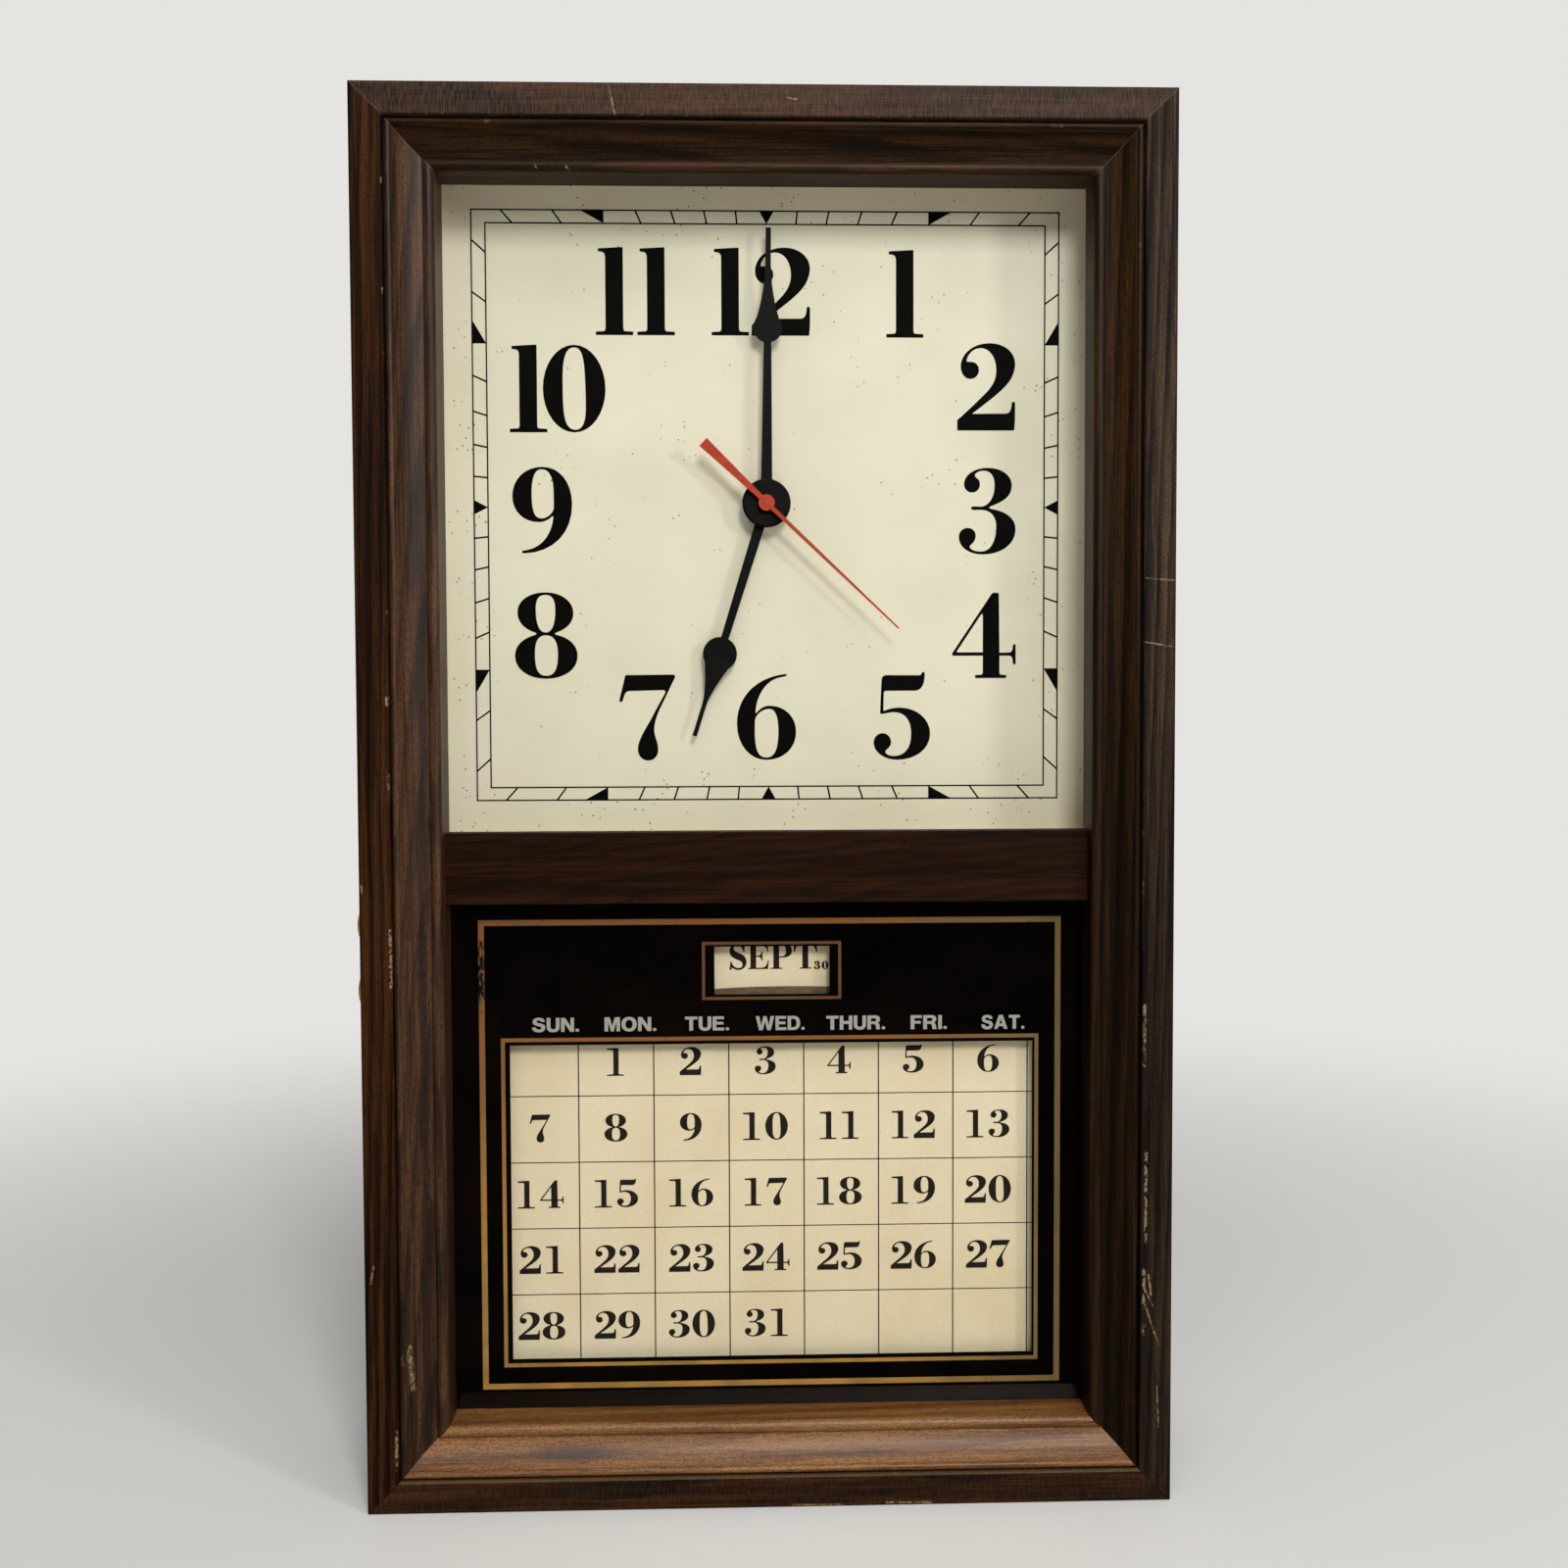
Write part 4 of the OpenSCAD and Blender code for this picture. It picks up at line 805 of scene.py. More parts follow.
def new_print(name):
    """An empty flat curve to draw on."""
    curve = bpy.data.curves.new(name, "CURVE")
    curve.dimensions = "2D"
    curve.fill_mode = "BOTH"
    curve.extrude = INK_T / 2
    curve.resolution_u = 8
    return curve


def draw(curve, path, left=0.0, bottom=0.0, wide=1.0, high=1.0):
    """Add an outline in millimetres: wide and high are millimetres for each of its units."""
    def placed(point):
        return ((left + point.x * wide) * MM, (bottom + point.y * high) * MM, 0.0)

    for points in read_outline(path):
        spline = curve.splines.new("BEZIER")
        spline.bezier_points.add(len(points) - 1)
        spline.use_cyclic_u = True
        for spot, (at, before, after) in zip(spline.bezier_points, points):
            spot.handle_left_type = "FREE" if before else "VECTOR"
            spot.handle_right_type = "FREE" if after else "VECTOR"
            spot.co = placed(at)
            if before:
                spot.handle_left = placed(before)
            if after:
                spot.handle_right = placed(after)


def box_line(left, right, bottom, top, line):
    """A rectangle drawn with a line of a given width, inside its outer edge."""
    near, far, low, high = left + line, right - line, bottom + line, top - line
    return (f"M {left} {bottom} L {right} {bottom} L {right} {top} L {left} {top} Z "
            f"M {near} {low} L {near} {high} L {far} {high} L {far} {low} Z")


print("ink", round(INK_T / MM, 2), "mm high")


# %% Curves to meshes
def plain_mesh(holder, name):
    """The evaluated object as a plain mesh with a name; the object itself is thrown away."""
    bpy.context.scene.collection.objects.link(holder)
    graph = bpy.context.evaluated_depsgraph_get()
    mesh = bpy.data.meshes.new_from_object(holder.evaluated_get(graph))
    holder.modifiers.clear()
    bpy.data.objects.remove(holder)
    mesh.name = name
    return mesh


def stand_up(mesh, back_y, finish):
    """Turn a flat mesh from the floor onto the front, its back at back_y, and let it ride."""
    shape = bmesh.new()
    shape.from_mesh(mesh)
    bmesh.ops.remove_doubles(shape, verts=shape.verts, dist=1e-6)
    bmesh.ops.recalc_face_normals(shape, faces=shape.faces)
    shape.to_mesh(mesh)
    shape.free()
    upright = Matrix.Rotation(math.pi / 2, 4, "X")
    mesh.transform(Matrix.Translation((0.0, back_y - INK_T / 2, 0.0)) @ upright)
    mesh.materials.clear()
    mesh.materials.append(finish)
    piece = bpy.data.objects.new(mesh.name, mesh)
    bpy.context.scene.collection.objects.link(piece)
    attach(piece, "case")
    print(piece.name, len(mesh.vertices), "points")


def press(curve, back_y, finish):
    """The flat curve becomes a thin mesh on a surface at back_y."""
    mesh = plain_mesh(bpy.data.objects.new(curve.name + "_outline", curve), curve.name)
    bpy.data.curves.remove(curve)
    stand_up(mesh, back_y, finish)


print("a curve can be pressed and stood up")


# %% Inks
def flat_ink(name, code, rough):
    """Printing ink: one colour, broken a little by how the screen lays it down."""
    made, tree, place = start_material(name)
    lay = stretched_noise(tree, place, (0.6, 0.6, 0.6), 2.0)
    thin = node(tree, RANGE, [lay, 0.35, 0.75, 0.0, 0.015], **SMOOTH)
    shade = lay_coats(tree, linear(code), [(thin, "#6d655a")])
    shader = node(tree, "ShaderNodeBsdfPrincipled", {
        "Base Color": shade, "Roughness": rough, "Specular IOR Level": 0.04})
    node(tree, "ShaderNodeOutputMaterial", {"Surface": shader})
    return made


DIAL_INK = flat_ink("black_dial_ink", "#040403", 0.6)
CALENDAR_INK = flat_ink("faded_calendar_ink", "#26211c", 0.7)
DAY_INK = flat_ink("grey_screen_ink", "#a09d96", 0.6)
print("inks ready")

# %% [markdown]
# The ring round the dial
#
# Two square lines hold sixty minute marks that all point at the middle, so each mark has
# its own length and slant. That is a rule, and Geometry Nodes follow it: a point for each
# minute, set halfway between the squares by its angle, with a bar turned and stretched
# to reach both. Every fifth minute gets a triangle instead, drawn as an outline.

# %% Trees that make shapes
def new_shape_tree(name, numbers):
    """A Geometry Nodes tree with named inputs for its sizes."""
    tree = bpy.data.node_groups.new(name, "GeometryNodeTree")
    tree.interface.new_socket("Geometry", in_out="INPUT", socket_type="NodeSocketGeometry")
    for label, kind in numbers:
        tree.interface.new_socket(label, in_out="INPUT", socket_type="NodeSocket" + kind)
    tree.interface.new_socket("Geometry", in_out="OUTPUT", socket_type="NodeSocketGeometry")
    return tree, node(tree, "NodeGroupInput").outputs


def end_shape_tree(tree, bars, finish):
    """Make instances real, give them a material and hand them out."""
    real = node(tree, "GeometryNodeRealizeInstances", [bars])
    inked = node(tree, "GeometryNodeSetMaterial", {"Geometry": real, "Material": finish})
    node(tree, "NodeGroupOutput", {"Geometry": inked})
    return tree


def grow(tree, values, name, back_y, finish):
    """Run a tree on an empty object with its inputs set by name, and keep the mesh."""
    holder = bpy.data.objects.new(name + "_tree", bpy.data.meshes.new(name + "_start"))
    modifier = holder.modifiers.new("nodes", "NODES")
    modifier.node_group = tree
    for item in tree.interface.items_tree:
        if item.in_out == "INPUT" and item.name in values:
            modifier[item.identifier] = values[item.name]
    stand_up(plain_mesh(holder, name), back_y, finish)


print("a tree can start, end and grow")

# %% A tree for the minute marks
# The print sits a little off the shaft. OUTER and INNER are half the squares' width and height
RING_X, RING_Z = 0.5, SHAFT_Z / MM - 1.1
OUTER = (120.2, 120.3)
INNER = (114.5, 115.0)
MARKS, MARK_LINE, SQUARE_LINE = 60, 0.7, 0.6
DIAL_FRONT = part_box("dial_plate")[0][1]


def build_mark_tree(finish):
    """A bar at each minute but every fifth, from the inner square to the outer one."""
    tree, given = new_shape_tree("minute_marks", [
        ("Marks", "Int"), ("Inner X", "Float"), ("Inner Z", "Float"), ("Outer X", "Float"),
        ("Outer Z", "Float"), ("Width", "Float"), ("Height", "Float"), ("Middle", "Vector")])
    index = node(tree, "GeometryNodeInputIndex")
    step = node(tree, MATH, [math.tau, given["Marks"]], operation="DIVIDE")
    angle = node(tree, MATH, [index, step], operation="MULTIPLY")
    sine = node(tree, MATH, [angle], operation="SINE")
    cosine = node(tree, MATH, [angle], operation="COSINE")
    # How far it is from the middle to each square at this angle
    reaches = []
    for square in ("Inner", "Outer"):
        shares = []
        for part, half in ((sine, given[square + " X"]), (cosine, given[square + " Z"])):
            part = node(tree, MATH, [part], operation="ABSOLUTE")
            shares.append(node(tree, MATH, [part, half], operation="DIVIDE"))
        most = node(tree, MATH, shares, operation="MAXIMUM")
        reaches.append(node(tree, MATH, [1.0, most], operation="DIVIDE"))
    inner, outer = reaches
    length = node(tree, MATH, [outer, inner], operation="SUBTRACT")
    middle = node(tree, MATH, [outer, inner], operation="ADD")
    middle = node(tree, MATH, [middle, 0.5], operation="MULTIPLY")
    across = node(tree, MATH, [sine, middle], operation="MULTIPLY")
    up = node(tree, MATH, [cosine, middle], operation="MULTIPLY")
    spot = node(tree, "ShaderNodeCombineXYZ", [across, up])
    spot = node(tree, VECTOR_MATH, [spot, given["Middle"]], operation="ADD")
    points = node(tree, "GeometryNodeMeshLine", {"Count": given["Marks"]})
    points = node(tree, "GeometryNodeSetPosition", {"Geometry": points, "Position": spot})
    size = node(tree, "ShaderNodeCombineXYZ", [given["Width"], 1.0, given["Height"]])
    bar = node(tree, "GeometryNodeMeshCube", {"Size": size})
    back = node(tree, MATH, [angle, -1.0], operation="MULTIPLY")
    turn = node(tree, "ShaderNodeCombineXYZ", {"Z": back})
    stretch = node(tree, "ShaderNodeCombineXYZ", [1.0, length, 1.0])
    fifth = node(tree, MATH, [index, 5.0], operation="MODULO")
    plain = node(tree, "FunctionNodeCompare", [fifth, 0.5], data_type="FLOAT", operation="GREATER_THAN")
    bars = node(tree, "GeometryNodeInstanceOnPoints", {
        "Points": points, "Selection": plain, "Instance": bar, "Rotation": turn, "Scale": stretch})
    return end_shape_tree(tree, bars, finish)


print("the shortest mark is", round(OUTER[1] - INNER[1], 1), "mm long")

# %% Sixty minute marks with Geometry Nodes
grow(build_mark_tree(DIAL_INK), {
    "Marks": MARKS, "Inner X": INNER[0] * MM, "Inner Z": INNER[1] * MM, "Outer X": OUTER[0] * MM,
    "Outer Z": OUTER[1] * MM, "Width": MARK_LINE * MM, "Height": INK_T,
    "Middle": (RING_X * MM, RING_Z * MM, 0.0)}, "dial_minute_marks", DIAL_FRONT, DIAL_INK)

# %% Ring lines and hour triangles
ring = new_print("dial_ring_lines")
for half_x, half_z in (OUTER, INNER):
    draw(ring, box_line(RING_X - half_x - SQUARE_LINE / 2, RING_X + half_x + SQUARE_LINE / 2,
                        RING_Z - half_z - SQUARE_LINE / 2, RING_Z + half_z + SQUARE_LINE / 2,
                        SQUARE_LINE))
press(ring, DIAL_FRONT, DIAL_INK)

# On each side of the square: where a triangle's foot starts and ends, and where its tip is
HOUR_AT, HOUR_FOOT, QUARTER_HALF = 66.4, 76.0, 2.95
TRIANGLES = [(-QUARTER_HALF, QUARTER_HALF, 0), (-HOUR_AT, -HOUR_FOOT, -HOUR_AT),
             (HOUR_AT, HOUR_FOOT, HOUR_AT)]
hours = new_print("dial_hour_triangles")
for sign in (-1, 1):
    for start, end, tip in TRIANGLES:
        over, under = OUTER[1] * sign, INNER[1] * sign
        draw(hours, f"M {start} {over} L {end} {over} L {tip} {under} Z", RING_X, RING_Z)
        over, under = OUTER[0] * sign, INNER[0] * sign
        draw(hours, f"M {over} {start} L {over} {end} L {under} {tip} Z", RING_X, RING_Z)
press(hours, DIAL_FRONT, DIAL_INK)

# %% [markdown]
# The numerals
#
# The dial has fat upright figures with hairline serifs, the kind that nineteenth century
# printers used on bills. Their outlines are drawn once and set at twelve places; the
# calendar uses the same figures, set wider.

# %% Figures
FIGURES = {
    "0": "M 0 50 C 0 22.4 16.1 0 36 0 C 55.9 0 72 22.4 72 50 C 72 77.6 55.9 100 36 100 "
         "C 16.1 100 0 77.6 0 50 Z M 36 97 C 27 97 22.8 86 22.8 60 C 22.8 45 23 35 23.3 30 "
         "C 24 12 28.5 3 37 3 C 44.5 3 48.5 10 49 25 C 49.3 35 49.2 45 48.5 62 "
         "C 47.5 85 45.5 97.5 36 97 Z",
    "1": "M 0 0 L 43 0 L 43 4 L 34 4.5 C 32 4.8 31.6 6 31.6 10 L 31.6 100 L 28 100 L 3 98.5 "
         "L 3 95 L 7 94.6 C 10 94 11.2 92 11.2 88 L 11.2 10 C 11.2 6 10.8 4.8 9 4.5 L 0 4 Z",
    "2": "M 0 0 L 66.5 0 L 67.5 12 L 67.5 31 C 67.5 34 63.5 34 63.5 31 C 63.3 24 61.5 19.5 56 19.5 "
         "L 17.5 19.2 C 22 23 28 27 34 32 C 46 41 58 51 63 60 C 66 66 67.5 72 67.5 77 "
         "C 67.5 90 55 100.5 38 100.5 C 18 100.5 4 88 4 74 C 4 65 9 59.3 15 59.3 "
         "C 21 59.3 25.3 64 25.3 69.5 C 25.3 75 21.5 79 16 79 L 11 79.2 C 10 83 16 94.8 27 94.8 "
         "C 38 94.8 45.5 84 45.5 69 C 45.5 54 36 45.5 25 35 C 18 28 8 19 0 12 Z",
    "3": "M 28 100.3 C 44 100.3 56 92 56 80 C 56 66 44 60.5 31 55.6 C 29.5 55 29.5 53.6 31 53 "
         "C 48 50.5 60.5 43 60.5 29 C 60.5 12 44 0 22 0 C 5 0 -6 9 -6 20 C -6 26.5 -1.5 30.8 4.5 30.8 "
         "C 10 30.8 13.8 27 13.8 22 C 13.8 16 10.5 13 7.5 10.5 C 5.5 8.5 8.5 3.4 20 3.4 "
         "C 31 3.4 37.8 15 37.8 32 C 37.8 45 31 51.6 20 51.6 L 11 51.5 C 7.5 51.5 7.5 55.7 11 55.7 "
         "L 20 55.5 C 29 56 35.8 66 35.8 80 C 35.8 91 31 97 23 97 C 17 97 12.5 94 12.8 91 "
         "C 13.5 88.5 18.7 88 18.7 81.5 C 18.7 75.5 14.5 71.7 9.5 71.7 C 4 71.7 0 76 0 81.5 "
         "C 0 92 12 100.3 28 100.3 Z",
    "4": "M 49 100.3 L 53.5 100.3 C 54.8 100.3 54.8 98 54.8 95 L 55.6 30.6 L 66 30.6 "
         "C 70 30.6 71 33 71.3 38 C 71.4 41.6 74.5 41.6 74.6 38 L 74.6 19 C 74.5 15.6 71.4 15.6 71.3 19 "
         "C 71 25 70 27 66 27 L 55.6 27 L 55.6 8 C 55.6 5.5 56.3 4.7 59 4.7 L 63.6 4.4 L 63.6 0.8 "
         "L 27 0.8 L 27 4.4 L 32 4.7 C 35 4.8 36 5.5 36 8 L 36 27 L 2 27 C -0.8 27 -0.3 29.5 0.6 30.8 "
         "L 44.5 96.5 C 46.3 99.3 47 100.3 49 100.3 Z M 36 31 L 36 71 C 36 77 35 76.5 33 73.5 "
         "L 6.3 33.3 C 5.2 31.5 5.5 31 7 31 Z",
    "5": "M 10.5 88 L 11 95 C 12 98.5 14 99.5 19 99.3 L 55 99 C 57 99.2 57.5 100.5 58.5 102.3 "
         "C 59.5 103.6 61.5 103 61.5 101 C 61.5 92 60 82.5 51 81 L 17 81 C 14 81 13.6 79.5 13.5 77 "
         "L 13 58.5 C 13.2 57.8 14 57.7 15 58 C 20 60.3 26 61.5 33 61.3 C 52 61 67.8 48 67.8 31 "
         "C 67.8 12 50 0.3 29 0.3 C 13 0.3 1.5 10 1.5 20.5 C 1.5 27.5 6.5 31.5 12 31.5 "
         "C 17.5 31.5 22 27 22 21 C 22 16 18.5 14 16 11.5 C 13.5 8.5 18 5 25 4.8 "
         "C 39 4.8 45.5 15 45.5 31 C 45.5 47 38 56 25 56 C 20 56 17 54.6 13 54.2 "
         "C 10 53.6 9 54.3 9.1 56.5 Z",
    "6": "M 57 100.2 C 45 99 30 95 17 83 C 5 71 0.5 57 0.5 42 C 0.5 18 15 0.3 35 0.3 "
         "C 55 0.3 69.5 14 69.5 33 C 69.5 51 56 63.5 39 63.5 C 32 63.5 27 60 23.5 55.5 "
         "C 22.5 54.5 22.3 55 22.3 57 C 23 72 33 95.5 55 97.2 C 60 97.6 60 100.6 57 100.2 Z "
         "M 38 59.8 C 30 59.8 21.5 52 21.5 46 L 21.3 30 C 22 14 24 3 34.5 3 "
         "C 45 3 48.5 14 48.8 32 C 48.8 50 46 59.8 38 59.8 Z",
    "7": "M 7.5 99.5 L 61 100 C 65 100.2 65.8 98.5 64.3 95.5 L 46 58 C 42 48 40.5 43 40.3 36 "
         "C 40.2 28 44.8 22 44.8 12.5 C 44.8 4.5 39 0 33 0 C 26 0 21 6 21 13.5 C 21 24 32 40 37 49 "
         "L 53 78.5 C 54 80.8 53 81.9 50.5 82 L 12 81 C 8 80.8 7 78.5 5.5 75 L 4 69.8 "
         "C 3 67.5 -0.5 68 0 70.5 L 6.5 97 C 7 99 7 99.5 7.5 99.5 Z",
    "8": "M 35.5 100 C 54 100 68 90 68 76 C 68 65 60 57.5 48 53.5 C 46 52.6 46 51.6 48 51 "
         "C 63 47.5 72.5 39 72.5 26.5 C 72.5 11 57 0 36 0 C 15 0 0 11 0 26.5 C 0 38.5 9 47 23.5 50.8 "
         "C 25.5 51.5 25.5 52.6 23.5 53.5 C 11 57.5 3.3 65.5 3.3 77 C 3.3 90.5 17 100 35.5 100 Z "
         "M 35.5 97 C 28 97 24.5 92 24.5 80 C 24.5 64 28 53.6 35.8 53.6 C 43.5 53.6 47 64 47 80 "
         "C 47 92 43.5 97 35.5 97 Z M 36 50.4 C 27 50.4 23.2 43 23.2 30 C 22.8 12 26 3.5 36 3.5 "
         "C 46 3.5 49.8 12 49.6 30 C 49.6 43 45 50.4 36 50.4 Z",
    "9": "M 35 99.7 C 55 99.7 68.8 82 68.8 57 C 68.8 25 48 1 12 0.3 C 10 0.8 10 3.4 12 3.6 "
         "C 30 5 44 18 47 41 C 47 43.5 46 43.5 44.5 42 C 41 38.5 36 36.3 30 36.3 "
         "C 13 36.3 0 48 0 66 C 0 85 14 99.7 35 99.7 Z M 34 97 C 26 97 22.5 87 22.2 70 "
         "C 22.2 50 24.5 40.5 33.5 40.5 C 40 40.5 47.6 47 47.6 53 L 47.6 70 C 47.6 87 43 97 34 97 Z",
}
print(len(FIGURES), "figures")


# %% Numerals on the dial
def reach_of(path):
    """The lowest and highest x of an outline's points."""
    spots = [point[0].x for loop in read_outline(path) for point in loop]
    return min(spots), max(spots)


def draw_at(curve, path, left, bottom, wide, high):
    """Draw an outline with its own left edge at left."""
    draw(curve, path, left - reach_of(path)[0] * wide, bottom, wide, high)


# Left edge and foot of each figure in millimetres from the shaft
DIAL_FIGURES = [
    ("1", -22.1, 68.9), ("2", -5.7, 68.9), ("1", 49.6, 68.3), ("2", 78.9, 30.5), ("3", 79.6, -20.4),
    ("4", 77.1, -71.8), ("5", 44.2, -105.4), ("6", -12.5, -105.2), ("7", -61.0, -105.2),
    ("8", -103.7, -71.3), ("9", -104.1, -20.0), ("1", -104.8, 29.4), ("0", -91.2, 29.4),
    ("1", -69.4, 68.9), ("1", -52.4, 68.9),
]
# Outlines are drawn 100 units high
UNITS = 100
FIGURE_HIGH = 35.5
numerals = new_print("dial_numerals")
for figure, left, foot in DIAL_FIGURES:
    draw_at(numerals, FIGURES[figure], left, SHAFT_Z / MM + foot, FIGURE_HIGH / UNITS, FIGURE_HIGH / UNITS)
press(numerals, DIAL_FRONT, DIAL_INK)

# %% [markdown]
# Gold lines and day names on the glass
#
# The calendar's pane is printed on its back: gold lines first, then the grey day names,
# then black over everything. Seen through the glass they lie in front of the black. The
# gold is bronze powder ink, which has turned coppery towards the top and left, and a
# stretch of the left line has flaked.

# %% Bronze powder ink
def bronze_ink():
    """Bronze powder ink: gold low down, coppery above, duller to the right, and flaked."""
    made, tree, place = start_material("bronze_powder_ink")
    x, y, z = node(tree, "ShaderNodeSeparateXYZ", [place]).outputs
    low = node(tree, RANGE, [z, 60 * MM, 210 * MM, 1.0, 0.0], **SMOOTH)
    gold = node(tree, MIX, [low, linear("#9c653a"), linear("#d3a050")], **COLOURS)
    right = node(tree, RANGE, [x, 30 * MM, 118 * MM], **SMOOTH)
    # The small frame round the month has lost most of its shine
    side = node(tree, MATH, [x], operation="ABSOLUTE")
    side = node(tree, RANGE, [side, 31.5 * MM, 33 * MM, 1.0, 0.0], **SMOOTH)
    foot = node(tree, RANGE, [z, 195 * MM, 197 * MM], **SMOOTH)
    head = node(tree, RANGE, [z, 225 * MM, 227 * MM, 1.0, 0.0], **SMOOTH)
    small_frame = overlap(tree, side, foot, head)
    drift = stretched_noise(tree, place, (22, 22, 22), 2.0)
    drift = node(tree, RANGE, [drift, 0.4, 0.7, 0.0, 0.5], **SMOOTH)
    # One stretch of the left line has flaked off, and small specks are gone everywhere
    grit = stretched_noise(tree, place, (1.1, 1.1, 2.6), 3.0, 0.6)
    left = node(tree, RANGE, [x, -117 * MM, -114 * MM, 1.0, 0.0], **SMOOTH)
    start = node(tree, RANGE, [z, 196 * MM, 202 * MM], **SMOOTH)
    end = node(tree, RANGE, [z, 223 * MM, 225 * MM, 1.0, 0.0], **SMOOTH)
    coarse = node(tree, RANGE, [grit, 0.44, 0.49], **SMOOTH)
    flaked = overlap(tree, overlap(tree, left, start, end), coarse)
    specks = node(tree, RANGE, [grit, 0.68, 0.72], **SMOOTH)
    gone = node(tree, MATH, [flaked, specks], operation="MAXIMUM")
    gold = lay_coats(tree, gold, [
        (overlap(tree, right, 0.8), "#82714a"), (overlap(tree, small_frame, 0.7), "#5d4735"),
        (drift, "#7d6544"), (gone, "#0a0807")])
    metal = node(tree, RANGE, [gone, 0.0, 1.0, 0.45, 0.0], **SMOOTH)
    shader = node(tree, "ShaderNodeBsdfPrincipled", {
        "Base Color": gold, "Metallic": metal, "Roughness": 0.5, "Specular IOR Level": 0.15})
    node(tree, "ShaderNodeOutputMaterial", {"Surface": shader})
    return made


BRONZE_INK = bronze_ink()
print("bronze ink ready")

# %% Gold lines
# Left, right, lower and upper edge of each frame, and its line's width, in millimetres
GOLD_FRAMES = [
    (-118.4, 120.4, 38.1, 232.5, 2.35),
    (-109.6, 111.3, 47.3, 183.9, 1.6),
    (-27.3, 29.8, 199.0, 222.9, 1.2),
]
COAT_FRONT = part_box("calendar_mask")[0][1]
gold = new_print("glass_gold_lines")
for edges in GOLD_FRAMES:
    draw(gold, box_line(*edges))
press(gold, COAT_FRONT, BRONZE_INK)

# %% Letters for the day names
LETTERS = {
    "S": "M 82 73 C 80 92 66 102 43 102 C 20 102 5 90 5 72 C 5 53 20 47 38 42.5 C 52 39 60 37 60 30 "
         "C 60 22 53 18.5 43 18.5 C 31 18.5 25 24 24 33 L 0 33 C 1 11 17 -2 43 -2 C 68 -2 84 10 84 31 "
         "C 84 50 71 57 50 62 C 36 65.5 28.5 67 28.5 73.5 C 28.5 79 34 82.5 42 82.5 "
         "C 52 82.5 58 79 59 72 Z",
    "U": "M 0 100 L 0 38 C 0 12 15 -2 41 -2 C 67 -2 82 12 82 38 L 82 100 L 58 100 L 58 38 "
         "C 58 25 52 19 41 19 C 30 19 24 25 24 38 L 24 100 Z",
    "N": "M 0 0 L 0 100 L 25 100 L 60 40 L 60 100 L 82 100 L 82 0 L 58 0 L 22 61 L 22 0 Z",
    "M": "M 0 0 L 0 100 L 32 100 L 48 38 L 64 100 L 96 100 L 96 0 L 74 0 L 74 72 L 57 0 L 39 0 "
         "L 22 72 L 22 0 Z",
    "O": "M 47 102 C 18 102 0 83 0 50 C 0 17 18 -2 47 -2 C 76 -2 94 17 94 50 C 94 83 76 102 47 102 Z "
         "M 47 81 C 62 81 69 69 69 50 C 69 31 62 19 47 19 C 32 19 25 31 25 50 C 25 69 32 81 47 81 Z",
    "T": "M 0 100 L 0 80 L 28 80 L 28 0 L 53 0 L 53 80 L 81 80 L 81 100 Z",
    "E": "M 0 0 L 0 100 L 74 100 L 74 80 L 24 80 L 24 61 L 70 61 L 70 42 L 24 42 L 24 20 L 76 20 "
         "L 76 0 Z",
    "W": "M 24 0 L 0 100 L 25 100 L 38 35 L 54 100 L 76 100 L 92 35 L 105 100 L 130 100 L 106 0 "
         "L 80 0 L 65 62 L 50 0 Z",
    "D": "M 0 0 L 0 100 L 42 100 C 72 100 88 82 88 50 C 88 18 72 0 42 0 Z "
         "M 24 20 L 40 20 C 56 20 63 30 63 50 C 63 70 56 80 40 80 L 24 80 Z",
    "H": "M 0 0 L 0 100 L 24 100 L 24 62 L 60 62 L 60 100 L 84 100 L 84 0 L 60 0 L 60 41 L 24 41 "
         "L 24 0 Z",
    "R": "M 0 0 L 0 100 L 50 100 C 73 100 84 90 84 72 C 84 59 78 51 67 47 C 78 43 81 36 82 22 "
         "C 83 10 83 4 87 0 L 61 0 C 58 5 58 12 57 22 C 56 33 52 38 40 38 L 24 38 L 24 0 Z "
         "M 24 57 L 44 57 C 55 57 59 61 59 69 C 59 77 55 80 44 80 L 24 80 Z",
    "F": "M 0 0 L 0 100 L 72 100 L 72 80 L 24 80 L 24 59 L 65 59 L 65 40 L 24 40 L 24 0 Z",
    "I": "M 0 0 L 0 100 L 24 100 L 24 0 Z",
    "A": "M 0 0 L 34 100 L 62 100 L 96 0 L 70 0 L 64 20 L 31 20 L 25 0 Z M 37 39 L 58 39 L 48 74 Z",
    ".": "M 0 11 C 0 4 5 0 11.5 0 C 18 0 23 4 23 11 C 23 18 18 22 11.5 22 C 5 22 0 18 0 11 Z",
}
print(len(LETTERS), "letters and signs")


# %% Day names
def write(curve, shapes, word, left, right, foot, high, space):
    """Set a word between two edges, with a space in its own units between its letters."""
    reaches = [reach_of(shapes[letter]) for letter in word]
    whole = sum(b - a for a, b in reaches) + space * (len(word) - 1)
    wide = (right - left) / whole
    for letter, (a, b) in zip(word, reaches):
        draw_at(curve, shapes[letter], left, foot, wide, high / UNITS)
        left += (b - a + space) * wide


